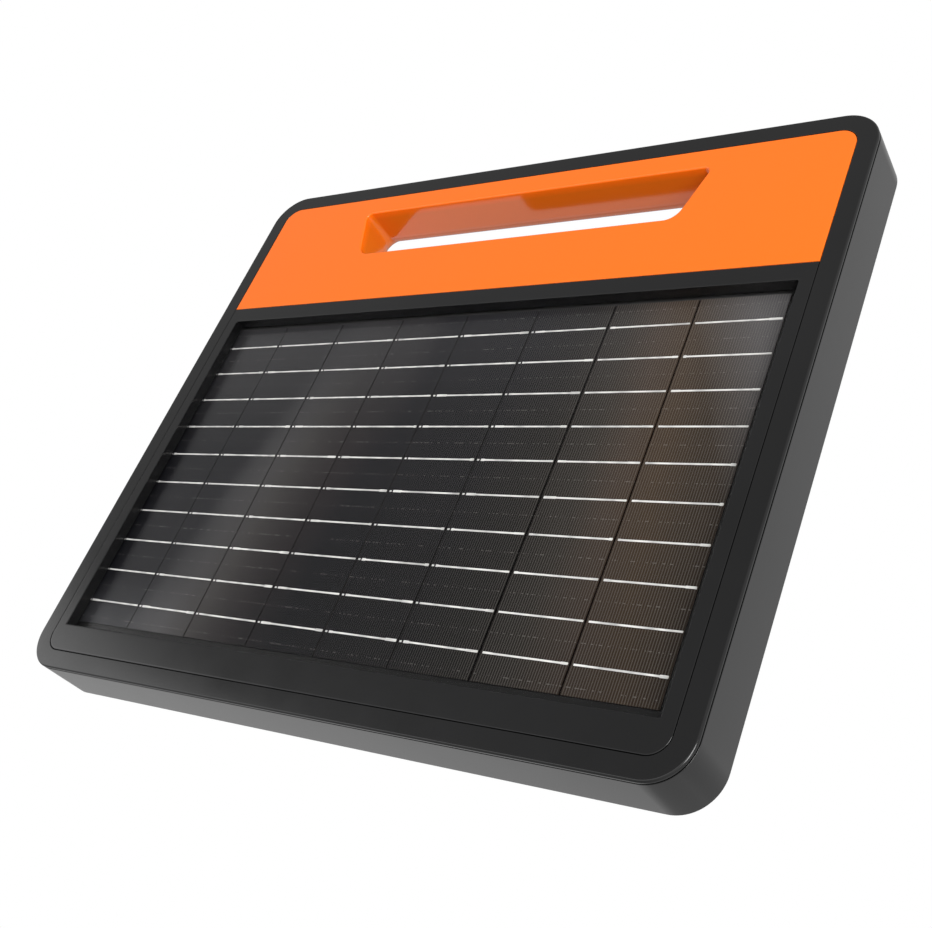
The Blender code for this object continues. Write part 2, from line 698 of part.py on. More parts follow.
def power_button():
    """A capped stem in its guide. A collar under the floor keeps it in, and a spring pushes it out."""
    head_back = TOTAL_DEPTH - 0.0004
    floor_front = GUIDE_FLOOR[0]
    stem, collar = 0.0030, 0.0042
    profile = (
        (0, head_back - 0.0006),
        (0.0050, head_back - 0.0003),
        (BUTTON_RADIUS - 0.0008, head_back),
        (BUTTON_RADIUS, head_back - 0.0008),
        (BUTTON_RADIUS, BUTTON_HEAD_FRONT),
        (stem, BUTTON_HEAD_FRONT),
        (stem, floor_front - GAP),
        (collar, floor_front - GAP),
        (collar, floor_front - GAP - 0.0012),
        (stem, floor_front - GAP - 0.0012),
        (stem, BUTTON_STEM_END + 0.0005),
        (stem - 0.0005, BUTTON_STEM_END),
        (0, BUTTON_STEM_END),
    )
    keep(turned(profile, BUTTON_X, BUTTON_Z), "power_button", "orange_plastic")
    low, high = GUIDE_FLOOR[1] + GAP + 0.0005, BUTTON_HEAD_FRONT - GAP - 0.0005
    turns, steps, radius = 3.5, 12, 0.0055
    count = round(turns * steps)
    coil = []
    for step in range(count + 1):
        angle = 2 * math.pi * step / steps
        depth = low + (high - low) * step / count
        coil.append((BUTTON_X + radius * math.cos(angle), depth, BUTTON_Z + radius * math.sin(angle)))
    keep(wire(coil, 0.0004), "button_spring", "stainless")
    body = box(BUTTON_X - 0.006, BUTTON_X + 0.006, BUTTON_Z - 0.006, BUTTON_Z + 0.006, BOARD_FACE, 0.0158)
    plunger_back = BUTTON_STEM_END - BUTTON_TRAVEL - GAP
    add(body, rod(BUTTON_X, BUTTON_Z, 0.0028, 0.0150, plunger_back, 16))
    keep(body, "push_switch", "chip_black")


def status_light():
    half_width, half_height = 0.008, 0.002
    low, high = LIGHT_Z - half_height, LIGHT_Z + half_height
    led = box(LIGHT_X - half_width, LIGHT_X + half_width, low, high, BOARD_FACE, 0.0155)
    keep(led, "status_led", "lens_green")
    pipe = box(*light_sides(0), 0.0170, TOTAL_DEPTH)
    keep(pipe, "light_pipe", "lens_green")
    back, flange_front = TOTAL_DEPTH - 0.0001, TOTAL_DEPTH - 0.0009
    profile = ((0, back), (0.0066, back), (0.0070, back - 0.0004), (0.0070, flange_front))
    profile += ((0.0040, flange_front), (0.0040, 0.0395), (0, 0.0395))
    keep(turned(profile, VENT_X, VENT_Z), "breather_vent", "black_rubber")


# Screw terminals.


def knob_outline(x, steps=48, lobes=8):
    """A round grip with shallow scallops."""
    points = []
    for step in range(steps):
        angle = 2 * math.pi * step / steps
        radius = KNOB_RADIUS - 0.0009 * (1 - math.cos(lobes * angle)) / 2
        points.append((x + radius * math.cos(angle), TERMINAL_Z + radius * math.sin(angle)))
    return points


def terminals():
    for name, x in TERMINALS.items():
        stud_back, head_back, head_front = 0.0400, 0.0252, 0.0217
        profile = ((0, stud_back), (STUD_RADIUS - 0.0005, stud_back), (STUD_RADIUS, stud_back - 0.0005))
        profile += ((STUD_RADIUS, head_back), (0.0050, head_back), (0.0050, head_front), (0, head_front))
        keep(turned(profile, x, TERMINAL_Z), f"{name}_stud", "stainless")
        washer = plate([circle(x, TERMINAL_Z, 0.0080), circle(x, TERMINAL_Z, BORE_RADIUS)], 0.0298, 0.0310)
        keep(washer, f"{name}_washer", "stainless")
        knob = plate([knob_outline(x)], KNOB_FRONT, KNOB_BACK)
        cut(knob, rod(x, TERMINAL_Z, BORE_RADIUS, KNOB_FRONT - WALL, KNOB_BACK - 0.002))
        keep(knob, f"{name}_knob", "red_plastic" if name == "fence" else "green_plastic")


def output_leads():
    """The pulse leads, from the board's lower edge to the heads of the studs."""
    fence = (
        (-0.066, 0.0145, 0.0725),
        (-0.090, 0.0160, 0.0710),
        (-0.112, 0.0180, 0.0680),
        (-0.127, 0.0215, 0.0600),
        (-0.1345, 0.0233, 0.0565),
    )
    earth = (
        (-0.045, 0.0145, 0.0725),
        (-0.060, 0.0160, 0.0650),
        (-0.071, 0.0200, 0.0580),
        (-0.0795, 0.0233, 0.0555),
    )
    keep(wire(smooth_route(fence, 0.004), 0.0016), "fence_lead", "lead_red")
    keep(wire(smooth_route(earth, 0.004), 0.0016), "earth_lead", "lead_black")


# Post bracket.


def keyhole(x, z):
    """A cutter for a keyhole: a round entry with a narrow slot that rises from it."""
    entry = rod(x, z, KEYHOLE_RADIUS, 0.040, 0.050)
    half = KEYHOLE_SLOT_RADIUS
    slot = rectangle(x - half, x + half, z, z + KEYHOLE_RISE, half * 0.99)
    return entry, plate([slot], 0.0405, 0.0495)


def post_bracket():
    """A steel strap bent into a bridge, whose outer face is level with the back of the raised housing."""
    foot, face, steel = BODY_DEPTH + GAP, TOTAL_DEPTH, 0.002
    low, high = 0.092, 0.238
    toe, rise = 0.015, 0.021
    outer = [
        (foot + steel, low),
        (foot + steel, low + toe - 0.0013),
        (face, low + rise - 0.0013),
        (face, high - rise + 0.0013),
        (foot + steel, high - toe + 0.0013),
        (foot + steel, high),
    ]
    inner = [
        (foot, high),
        (foot, high - toe),
        (face - steel, high - rise),
        (face - steel, low + rise),
        (foot, low + toe),
        (foot, low),
    ]
    strap = plate([outer + inner], BRACKET_X - BRACKET_HALF_WIDTH, BRACKET_X + BRACKET_HALF_WIDTH, "X")
    for z in KEYHOLE_Z:
        cut(strap, *keyhole(BRACKET_X, z))
    for z in BRACKET_SCREW_Z:
        cut(strap, rod(BRACKET_X, z, 0.0021, 0.020, 0.035, 16))
    keep(strap, "post_bracket", "zinc_steel")
    neck = foot + steel + GAP
    head, tip = neck + 0.0022, 0.0185
    profile = ((0, head), (0.0028, head - 0.0003), (0.0036, neck + 0.0008), (0.0036, neck), (0.0016, neck))
    profile += ((0.0016, tip + 0.0015), (0, tip))
    for number, z in enumerate(BRACKET_SCREW_Z, 1):
        keep(turned(profile, BRACKET_X, z, 16), f"bracket_screw_{number}", "stainless")


clear_scene()
PARTS = new_collection("fence_energizer")
CUTTERS = new_collection("cutters")
MATERIALS = {name: new_material(name) for name in COLOURS}

front_frame()
handle_fascia()
panel_surround()
rear_housing()
housing_seal()
case_screws()
solar_laminate()
circuit_board()
pulse_transformer()
heat_sink()
battery()
battery_cover()
power_button()
status_light()
terminals()
output_leads()
post_bracket()
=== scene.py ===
"""Looks of the solar fence energizer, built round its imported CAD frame. Metres, in the frame's own axes: the
front faces -Y, and a depth is a distance behind the front face."""

import json
import math
import random

import bmesh
import bpy
from mathutils import Matrix, Vector, geometry


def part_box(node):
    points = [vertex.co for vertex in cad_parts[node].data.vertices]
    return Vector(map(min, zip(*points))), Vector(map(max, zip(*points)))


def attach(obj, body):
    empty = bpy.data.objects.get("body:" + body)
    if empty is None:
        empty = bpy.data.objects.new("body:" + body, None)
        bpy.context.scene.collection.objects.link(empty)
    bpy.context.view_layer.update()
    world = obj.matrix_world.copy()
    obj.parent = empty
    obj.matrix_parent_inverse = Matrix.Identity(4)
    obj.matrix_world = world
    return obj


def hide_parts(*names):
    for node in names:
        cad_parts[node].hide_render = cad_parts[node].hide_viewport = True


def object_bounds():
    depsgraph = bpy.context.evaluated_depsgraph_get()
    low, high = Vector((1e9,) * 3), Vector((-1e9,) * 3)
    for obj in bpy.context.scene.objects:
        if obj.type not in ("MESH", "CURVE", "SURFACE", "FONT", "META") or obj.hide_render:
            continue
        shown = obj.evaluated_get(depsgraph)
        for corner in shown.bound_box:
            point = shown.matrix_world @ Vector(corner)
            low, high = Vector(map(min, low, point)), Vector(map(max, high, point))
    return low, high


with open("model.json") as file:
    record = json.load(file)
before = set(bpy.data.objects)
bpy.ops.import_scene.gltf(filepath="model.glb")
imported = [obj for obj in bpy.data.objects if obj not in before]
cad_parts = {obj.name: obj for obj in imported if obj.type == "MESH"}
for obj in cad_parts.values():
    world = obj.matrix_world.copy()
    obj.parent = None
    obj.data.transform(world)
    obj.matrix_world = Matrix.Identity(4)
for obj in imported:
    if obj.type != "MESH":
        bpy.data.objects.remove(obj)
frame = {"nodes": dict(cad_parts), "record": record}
CAD_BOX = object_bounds()
FRONT_Y = CAD_BOX[0].y
WIDTH = CAD_BOX[1].x - CAD_BOX[0].x
HEIGHT = CAD_BOX[1].z
TOTAL_DEPTH = CAD_BOX[1].y - FRONT_Y

# The case, as in the CAD model. Boxes are (left, right, bottom, top), and places are (x, z).
BODY_DEPTH = 0.028
CORNER_RADIUS = 0.018
WALL = 0.0025
GAP = 0.0003
FRAME_WIDTH = 0.009
FRAME_EDGE = 0.0014
SEAM = 0.0009
FRAME_BACK = 0.0054
FRAME_LEDGE = 0.0128
FRAME_SKIRT = 0.003
PANEL_THICKNESS = 0.0025
PANEL_INSET = FRAME_WIDTH + GAP
SPLIT_HEIGHT = 0.2198
TONGUE_HALF_WIDTH, TONGUE_BACK = 0.150, 0.0048
TONGUE_BOTTOM, TONGUE_TOP = 0.2116, 0.2250
WINDOW_HALF_WIDTH = 0.1615
WINDOW_BOTTOM, WINDOW_TOP = 0.0227, 0.2108
WINDOW_DEPTH = 0.00575
WINDOW_WALL = 0.002
WINDOW_RADIUS = 0.0004
HANDLE_TOP, HANDLE_BOTTOM = 0.2825, 0.2526
HANDLE_HALF_TOP, HANDLE_HALF_BOTTOM = 0.103, 0.0933
HANDLE_SLOPE = (HANDLE_HALF_TOP - HANDLE_HALF_BOTTOM) / (HANDLE_TOP - HANDLE_BOTTOM)
HANDLE_TOP_RADIUS, HANDLE_BOTTOM_RADIUS = 0.003, 0.008
SLEEVE_WALL = 0.0022
SLEEVE_BACK = 0.0165
FLARE = 0.009
FLARE_START = 0.0185
FASCIA_FACE = 0.00005
HUMP = (-0.041, 0.150, 0.048, 0.2492)
HUMP_RADIUS = 0.014
BATTERY_COVER = (0.047, 0.141, 0.053, 0.161)
COVER_RADIUS = 0.0047
COVER_FRONT = 0.0423
COVER_SCREWS = ((0.094, 0.0585), (0.094, 0.1555))
BUTTON = (0.020, 0.205)
BUTTON_RADIUS = 0.008
GUIDE_FLOOR = (0.030, 0.033)
STEM_HOLE = 0.0033
LIGHT = (0.072, 0.205)
LIGHT_HALF_WIDTH, LIGHT_HALF_HEIGHT = 0.012, 0.003
VENT = (0.120, 0.205)
VENT_RADIUS, VENT_SEAT, VENT_THROAT = 0.0073, 0.0012, 0.0043
CASE_SCREWS = ((-0.155, 0.0096), (0.155, 0.0096), (-0.150, 0.2934), (0.150, 0.2934))
BOARD_POSTS = ((-0.119, 0.074, 0.026), (-0.119, 0.210, 0.026), (0.044, 0.074, 0.043), (0.089, 0.210, 0.043))
TERMINALS = {"fence": -0.140, "earth": -0.085}
TERMINAL_Z = 0.055
TERMINAL_PLACES = [(x, TERMINAL_Z) for x in TERMINALS.values()]
BORE_RADIUS = 0.0029
BRACKET_X = -0.105
BRACKET_HALF_WIDTH = 0.030
BRACKET_SCREWS = ((BRACKET_X, 0.099), (BRACKET_X, 0.231))
KEYHOLE_Z = (0.124, 0.184)
KEYHOLE_RADIUS, KEYHOLE_SLOT, KEYHOLE_RISE = 0.0055, 0.00275, 0.012

# What stands on the inside of the case, and what is bored into it and the bracket, as (radius, front, back).
FRAME_POST = (0.0034, 0.004, 0.015)
FRAME_PILOT = (0.0018, 0.0062, 0.020)
CASE_BOSS = (0.0040, 0.0155, 0.0265)
CASE_CLEARANCE = (0.0021, 0.010, 0.0262)
CASE_HEAD_SEAT = (0.0036, 0.0251, 0.030)
TERMINAL_BOSS = (0.013, 0.027, 0.0295)
TERMINAL_BORE = (BORE_RADIUS, 0.020, 0.032)
BRACKET_BOSS = (0.0040, 0.0170, 0.0265)
BRACKET_PILOT = (0.0019, 0.0160, 0.030)
BRACKET_CLEARANCE = (0.0021, 0.020, 0.035)
COVER_PILOT = (0.0016, 0.0300, 0.0430)
BOARD_POST_RADIUS, BOARD_POST_FRONT = 0.0030, 0.0127

COVER_GROOVES, COVER_GROOVE_Z, COVER_GROOVE_PITCH = 9, 0.087, 0.005
COVER_GROOVE_HALF_WIDTH, COVER_GROOVE_DEPTH, COVER_GROOVE_MARGIN = 0.0009, 0.0008, 0.012
KNOB_RADIUS, KNOB_FLUTE, KNOB_FLUTES, KNOB_STEPS = 0.012, 0.0009, 8, 192

BUSBAR_COUNT = 10
BUSBAR_TOP, BUSBAR_PITCH = 0.1970, 0.01745
BUSBAR_WIDTH = 0.00075
BUSBAR_FRONT, BUSBAR_BACK = 0.0002, 0.00005
BUSBAR_START, BUSBAR_START_RIGHT, BUSBAR_END = 0.0026, 0.0012, 0.0004
TAB_START, TAB_END = 0.0006, 0.0016
LAST_TABBED_CELL = 6
LUMP_LENGTH, LUMP_WIDTH, LUMP_MARGIN, LUMP_RISE = (0.001, 0.006), (0.9, 1.6), 0.0001, 0.00006

ARC_STEPS = 20
EDGE_STEPS = 4
ROUND_STEPS = 64
SHARP_ANGLE = 35
TINY = 1e-4


def world_y(depth):
    return FRONT_Y + depth


# Outlines and profiles.


def rounded(points, radii, closed=True, steps=ARC_STEPS):
    """A polygon or an open path whose corners are arcs. A corner of radius 0 stays sharp."""
    result = []
    for index, point in enumerate(points):
        corner = Vector(point)
        at_end = not closed and index in (0, len(points) - 1)
        if radii[index] == 0 or at_end:
            result.append(corner)
            continue
        before = (Vector(points[index - 1]) - corner).normalized()
        after = (Vector(points[(index + 1) % len(points)]) - corner).normalized()
        half = before.angle(after) / 2
        centre = corner + (before + after).normalized() * (radii[index] / math.sin(half))
        spoke = corner + before * (radii[index] / math.tan(half)) - centre
        side = 1 if after.x * before.y - after.y * before.x > 0 else -1
        for step in range(steps + 1):
            turn = side * (math.pi - 2 * half) * step / steps
            result.append(centre + Matrix.Rotation(turn, 2) @ spoke)
    return result


def profile(points, radii):
    """An open path of (inset, depth) with small arcs at its corners."""
    return rounded(points, radii, closed=False, steps=EDGE_STEPS)


def rectangle(left, right, bottom, top, radius=0.0):
    corners = ((left, bottom), (right, bottom), (right, top), (left, top))
    return rounded(corners, (radius,) * 4)


def circle(centre, radius, steps=ROUND_STEPS):
    angles = (2 * math.pi * step / steps for step in range(steps))
    return [(centre[0] + radius * math.cos(a), centre[1] + radius * math.sin(a)) for a in angles]


def case_outline(inset):
    half = WIDTH / 2 - inset
    return rectangle(-half, half, inset, HEIGHT - inset, CORNER_RADIUS - inset)


def hump_outline(inset):
    left, right, bottom, top = HUMP
    return rectangle(left + inset, right - inset, bottom + inset, top - inset, HUMP_RADIUS - inset)


def cover_outline(inset, radius=COVER_RADIUS):
    left, right, bottom, top = BATTERY_COVER
    return rectangle(left + inset, right - inset, bottom + inset, top - inset, radius - inset)


def window_outline(grow):
    half = WINDOW_HALF_WIDTH + grow
    return rectangle(-half, half, WINDOW_BOTTOM - grow, WINDOW_TOP + grow, WINDOW_RADIUS + grow)


def handle_outline(side, top, bottom):
    """The hand opening, grown by a distance at its sides, its top and its bottom."""
    slant = side * math.sqrt(1 + HANDLE_SLOPE**2)
    low, high = HANDLE_BOTTOM - bottom, HANDLE_TOP + top
    half_low = HANDLE_HALF_BOTTOM - HANDLE_SLOPE * bottom + slant
    half_high = HANDLE_HALF_TOP + HANDLE_SLOPE * top + slant
    corners = ((-half_low, low), (half_low, low), (half_high, high), (-half_high, high))
    low_radius = HANDLE_BOTTOM_RADIUS + min(side, bottom)
    high_radius = HANDLE_TOP_RADIUS + min(side, top)
    return rounded(corners, (low_radius, low_radius, high_radius, high_radius))


# Building meshes.


def object_of(name, shape):
    """A new object from a bmesh, which is freed."""
    data = bpy.data.meshes.new(name)
    shape.to_mesh(data)
    shape.free()
    return bpy.data.objects.new(name, data)


class Skin:
    """A closed surface made of walls between matching rings, and flat caps that may have holes."""

    def __init__(self):
        self.mesh = bmesh.new()

    def ring(self, outline, depth):
        return [self.mesh.verts.new((x, world_y(depth), z)) for x, z in outline]

    def wall(self, rings):
        for near, far in zip(rings, rings[1:]):
            for i in range(len(near)):
                self.mesh.faces.new((near[i - 1], near[i], far[i], far[i - 1]))

    def sweep(self, outline_at, path, closed=False):
        """A wall whose section is a path of (inset, depth). Returns its first and last rings."""
        rings = [self.ring(outline_at(inset), depth) for inset, depth in path]
        self.wall(rings + rings[:1] if closed else rings)
        return rings[0], rings[-1]

    def tube(self, outline, *depths):
        rings = [self.ring(outline, depth) for depth in depths]
        self.wall(rings)
        return rings[0], rings[-1]

    def cap(self, *rings):
        """A flat face inside the first ring, with the other rings as holes."""
        points = [[vert.co for vert in ring] for ring in rings]
        verts = [vert for ring in rings for vert in ring]
        for triangle in geometry.tessellate_polygon(points):
            self.mesh.faces.new([verts[i] for i in triangle])

    def finished(self, name):
        bmesh.ops.recalc_face_normals(self.mesh, faces=self.mesh.faces)
        return object_of(name, self.mesh)


def linked(piece):
    if not piece.users_collection:
        bpy.context.scene.collection.objects.link(piece)
    return piece


def finish_piece(piece, material, body="case", replaces=(), slot=None, angle=SHARP_ANGLE):
    """Gives a piece its material, its body and smooth shading up to an angle, and hides the CAD nodes that it
    replaces. The finish slot is not used.
    """
    linked(piece)
    piece.data.materials.clear()
    piece.data.materials.append(MATERIALS[material])
    piece.data.shade_smooth()
    piece.data.set_sharp_from_angle(angle=math.radians(angle))
    normals = piece.modifiers.new("normals", "WEIGHTED_NORMAL")
    normals.keep_sharp = True
    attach(piece, body)
    if replaces:
        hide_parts(*replaces)


def finish_detailed(piece, node, material, **settings):
    """Finishes a piece that replaces one CAD node and is named after it."""
    piece.name = node + "_detailed"
    finish_piece(piece, material, replaces=[node], **settings)


def apply_modifiers(piece):
    bpy.context.view_layer.update()
    graph = bpy.context.evaluated_depsgraph_get()
    mesh = bpy.data.meshes.new_from_object(piece.evaluated_get(graph))
    shape = bmesh.new()
    shape.from_mesh(mesh)
    bmesh.ops.remove_doubles(shape, verts=shape.verts, dist=TINY / 100)
    bmesh.ops.triangulate(shape, faces=[face for face in shape.faces if len(face.verts) > 4])
    shape.to_mesh(mesh)
    shape.free()
    piece.modifiers.clear()
    piece.data = mesh


def boolean(piece, operation, tools):
    """Cuts the tools from the piece or joins them to it, and removes them."""
    linked(piece)
    for tool in tools:
        linked(tool)
        modifier = piece.modifiers.new("boolean", "BOOLEAN")
        modifier.operation = operation
        modifier.object = tool
    apply_modifiers(piece)
    for tool in tools:
        bpy.data.objects.remove(tool, do_unlink=True)


def cut(piece, *tools):
    boolean(piece, "DIFFERENCE", tools)


def add(piece, *tools):
    boolean(piece, "UNION", tools)


def plate(outlines, front, back, edge=0.0):
    """A flat sheet with holes, whose front and back rims are rounded by edge."""
    skin = Skin()
    rims = [skin.tube(outline, front, back) for outline in outlines]
    skin.cap(*[rim[0] for rim in rims])
    skin.cap(*[rim[1] for rim in rims])
    sheet = skin.finished("plate")
    if edge:
        bevel = sheet.modifiers.new("edge", "BEVEL")
        bevel.width = edge
        bevel.segments = 3
        bevel.limit_method = "ANGLE"
        bevel.angle_limit = math.radians(50)
    return sheet


def rod(x, z, radius, front, back, steps=ROUND_STEPS):
    return plate([circle((x, z), radius, steps)], front, back)


def rods(places, size):
    """A rod of one (radius, front, back) at each place."""
    return [rod(x, z, *size) for x, z in places]


def add_box(shape, low, high):
    corners = bmesh.ops.create_cube(shape, size=1.0)["verts"]
    bmesh.ops.scale(shape, vec=high - low, verts=corners)
    bmesh.ops.translate(shape, vec=(high + low) / 2, verts=corners)


def block(low, high, edge=0.0, segments=3):
    """A box between two corners with rounded edges."""
    shape = bmesh.new()
    add_box(shape, Vector(low), Vector(high))
    if edge:
        bmesh.ops.bevel(shape, geom=shape.edges, offset=edge, segments=segments, profile=0.5, affect="EDGES")
    return object_of("block", shape)


def turned(points, x, z, steps=ROUND_STEPS):
    """A turned piece whose axis runs front to back. The path lists (radius, depth), its ends on the axis."""
    skin = Skin()
    inner = [p for p in points if p[0] > 0]
    rings = [skin.ring(circle((x, z), radius, steps), depth) for radius, depth in inner]
    skin.wall(rings)
    for ring, (radius, depth) in ((rings[0], points[0]), (rings[-1], points[-1])):
        centre = skin.mesh.verts.new((x, world_y(depth), z))
        for i in range(len(ring)):
            skin.mesh.faces.new((ring[i - 1], ring[i], centre))
    return skin.finished("turned")


# Materials.

MATERIALS = {}
CHARCOAL = (0.0045, 0.0045, 0.0047)
ORANGE = (0.97, 0.168, 0.004)
# Painted shade: the darker, browner orange painted on the moulding's surfaces deeper than its front face.
ORANGE_PAINTED_SHADE = (0.72, 0.155, 0.006)
WIRE_COPPER = (0.62, 0.24, 0.09)
BLACK = (0, 0, 0)

# The colour of the cells' face from left to right: their own dark blue-black and brown-black tones, and broad
# brighter bands of painted sheen, a painted reflection. The bands fan out upwards from their centre.
SHEEN_CENTRE, SHEEN_FAN, SHEEN_FOOT = 0.04, 2.16, 0.03
SHEEN_LEFT, SHEEN_RIGHT = -0.20, 0.15
COATING_AND_SHEEN_STOPS = (
    (0.03, (0.007, 0.007, 0.009)),
    (0.075, (0.009, 0.009, 0.011)),
    (0.105, (0.032, 0.031, 0.033)),
    (0.145, (0.046, 0.044, 0.045)),
    (0.20, (0.038, 0.035, 0.034)),
    (0.234, (0.027, 0.024, 0.024)),
    (0.286, (0.016, 0.013, 0.014)),
    (0.36, (0.007, 0.007, 0.009)),
    (0.57, (0.005, 0.005, 0.007)),
    (0.66, (0.009, 0.008, 0.008)),
    (0.74, (0.023, 0.019, 0.016)),
    (0.80, (0.044, 0.030, 0.022)),
    (0.857, (0.046, 0.029, 0.017)),
    (0.914, (0.030, 0.020, 0.013)),
    (1.0, (0.020, 0.014, 0.011)),
)
# Painted shade and painted light near the panel's edges: the painted sheen flattened to a plain grey at the
# top left, painted shade towards the lower right, and a painted lighter patch at the lower left. Each lists
# how it is mixed, how much, its colour, and where it starts and ends up the panel and across it.
EDGE_SHADE_AND_SHEEN = (
    ("MIX", 0.8, (0.023, 0.022, 0.023), (0.13, 0.19), (-0.015, -0.03)),
    ("MULTIPLY", 1.0, (0.58, 0.58, 0.60), (0.130, 0.040), (-0.08, -0.05)),
    ("ADD", 1.0, (0.019, 0.019, 0.020), (0.055, 0.033), (-0.085, -0.105)),
)
# Painted light on the cells: a painted lighter top, and a painted highlight at the top right corner.
TOP_SHEEN, TOP_SHEEN_HEIGHT = (0.008, 0.008, 0.009), (0.145, 0.198)
CORNER_SHEEN, CORNER_SLANT, CORNER_REACH = (0.052, 0.055, 0.060), 2.4, (0.48, 0.545)
FINGER_PITCH, FINGER_SHARE = 0.00115, 0.33
FINGER_SILVER = (0.20, 0.185, 0.165, 1)
JOINT_SILVER, JOINT_STRENGTH = (0.22, 0.21, 0.20, 1), 0.34
GAP_STOPS = (
    (0.16, (0.018, 0.018, 0.018)),
    (0.20, (0.003, 0.003, 0.003)),
    (0.30, (0.003, 0.003, 0.003)),
    (0.34, (0.014, 0.013, 0.013)),
    (0.66, (0.006, 0.006, 0.006)),
    (0.70, (0.002, 0.002, 0.002)),
)
# Painted light: the sheet's margin round the cells is painted lighter than the sheet where the window's recess
# shades it, a little below the cells and more above them and to their right.
LOWER_MARGIN_PAINTED_LIGHT = (0.012, 0.012, 0.012, 1)
SHADED_MARGIN_PAINTED_LIGHT = (0.035, 0.035, 0.035, 1)


class Nodes:
    """A node tree under construction. An input is either another node's output or a value."""

    def __init__(self, tree):
        self.tree = tree

    def node(self, kind, inputs=(), **settings):
        made = self.tree.nodes.new(kind)
        for key, value in settings.items():
            setattr(made, key, value)
        for key, value in dict(inputs).items():
            if isinstance(value, bpy.types.NodeSocket):
                self.tree.links.new(value, made.inputs[key])
            else:
                made.inputs[key].default_value = value
        return made

    def ramp(self, factor, *stops):
        """A colour ramp through (position, colour) stops."""
        made = self.node("ShaderNodeValToRGB", {"Fac": factor})
        elements = made.color_ramp.elements
        while len(elements) < len(stops):
            elements.new(0.5)
        for element, (position, colour) in zip(elements, stops):
            element.position = position
            element.color = (*colour, 1)
        return made.outputs["Color"]

    def scale_range(self, value, low, high, from_low=0.3, from_high=0.7, **settings):
        inputs = {"Value": value, "From Min": from_low, "From Max": from_high, "To Min": low, "To Max": high}
        return self.node("ShaderNodeMapRange", inputs, **settings).outputs["Result"]

    def zone(self, value, edges):
        """0 at the first edge and 1 at the second."""
        return self.scale_range(value, 0, 1, *edges)

    def math(self, operation, a, b=0.0, c=0.0):
        return self.node("ShaderNodeMath", {0: a, 1: b, 2: c}, operation=operation).outputs[0]

    def vector(self, operation, a, b=BLACK, output="Vector"):
        return self.node("ShaderNodeVectorMath", {0: a, 1: b}, operation=operation).outputs[output]

    def mix(self, blend, factor, a, b):
        """Two colours mixed. Sockets 0, 6 and 7 are the factor and the colours A and B."""
        inputs = {0: factor, 6: a, 7: b}
        return self.node("ShaderNodeMix", inputs, data_type="RGBA", blend_type=blend).outputs[2]

    def seen(self):
        """1 for what the camera sees directly, and 0 for light and reflections."""
        return self.node("ShaderNodeLightPath").outputs["Is Camera Ray"]

    def show(self, factor, first, second, output):
        """Mixes two shader nodes into an output node."""
        both = self.node("ShaderNodeMixShader", {0: factor, 1: first.outputs[0], 2: second.outputs[0]})
        self.tree.links.new(both.outputs[0], self.tree.nodes[output].inputs["Surface"])


class Shader(Nodes):
    """A node material under construction, round one Principled BSDF."""

    def __init__(self, name, colour=(0.8, 0.8, 0.8), roughness=0.5, metallic=0.0, **sockets):
        self.material = bpy.data.materials.new(name)
        MATERIALS[name] = self.material
        self.material.use_nodes = True
        super().__init__(self.material.node_tree)
        self.base = self.tree.nodes["Principled BSDF"]
        self.set("Base Color", (*colour, 1))
        self.set("Roughness", roughness)
        self.set("Metallic", metallic)
        for socket, value in sockets.items():
            self.set(socket.replace("_", " "), value)
        self.where = self.node("ShaderNodeTexCoord").outputs["Object"]

    def set(self, socket, value):
        self.base.inputs[socket].default_value = value

    def link(self, output, socket):
        self.tree.links.new(output, self.base.inputs[socket])

    def along(self, axis):
        """The place along the X, Y or Z axis."""
        return self.node("ShaderNodeSeparateXYZ", {"Vector": self.where}).outputs[axis]

    def noise(self, scale, detail=2.0, stretch=(1, 1, 1), roughness=0.5):
        """Noise with features of about 1 / scale metres, longer along an axis with a stretch below 1."""
        spread = self.node("ShaderNodeMapping", {"Vector": self.where, "Scale": stretch})
        inputs = {"Vector": spread.outputs[0], "Scale": scale, "Detail": detail, "Roughness": roughness}
        return self.node("ShaderNodeTexNoise", inputs).outputs["Fac"]

    def stripes(self, axis, pitch):
        """A wave along an axis."""
        return self.math("SINE", self.math("MULTIPLY", self.along(axis), 2 * math.pi / pitch))

    def bump(self, height, distance):
        made = self.node("ShaderNodeBump", {"Height": height, "Distance": distance, "Strength": 1.0})
        self.link(made.outputs["Normal"], "Normal")

    def tint(self, factor, colour, spread):
        darker = tuple(c * (1 - spread) for c in colour)
        lighter = tuple(min(c * (1 + spread), 1) for c in colour)
        self.link(self.ramp(factor, (0.3, darker), (0.7, lighter)), "Base Color")


def moulded(name, colour, roughness, grain=0.000012, spread=0.10, **sockets):
    """Moulded plastic: a fine spark-eroded grain, slow changes of tone, and a little handling polish."""
    shader = Shader(name, colour, roughness, **sockets)
    shader.tint(shader.noise(14, 3), colour, spread)
    polish = shader.noise(35, 4, roughness=0.6)
    shader.link(shader.scale_range(polish, roughness - 0.03, roughness + 0.04), "Roughness")
    shader.bump(shader.noise(3200, 2), grain)


def orange_shell():
    """The orange moulding. From just behind the front face backwards it is painted darker and browner, a
    painted shade inside the hand opening.
    """
    shader = Shader("orange_plastic", ORANGE, 0.08)
    tone = shader.noise(14, 3)
    # Painted shade: deeper than the front face, the orange turns to the darker, browner painted shade.
    inside = shader.zone(shader.along("Y"), (FRONT_Y + 0.0008, FRONT_Y + 0.005))
    pale = shader.ramp(tone, (0.3, tuple(c * 0.99 for c in ORANGE)), (0.7, ORANGE))
    shader.link(shader.mix("MIX", inside, pale, (*ORANGE_PAINTED_SHADE, 1)), "Base Color")
    shader.link(shader.scale_range(shader.noise(35, 4, roughness=0.6), 0.07, 0.10), "Roughness")
    shader.bump(shader.noise(3200, 2), 0.000001)


def worked_metal(name, colour, roughness, stretch):
    """Metal with fine lines along the axis that the stretch pulls out."""
    shader = Shader(name, colour, roughness, 1.0)
    lines = shader.noise(900, 3, stretch)
    shader.tint(lines, colour, 0.10)
    shader.link(shader.scale_range(lines, roughness - 0.06, roughness + 0.08), "Roughness")
    shader.bump(lines, 0.000006)


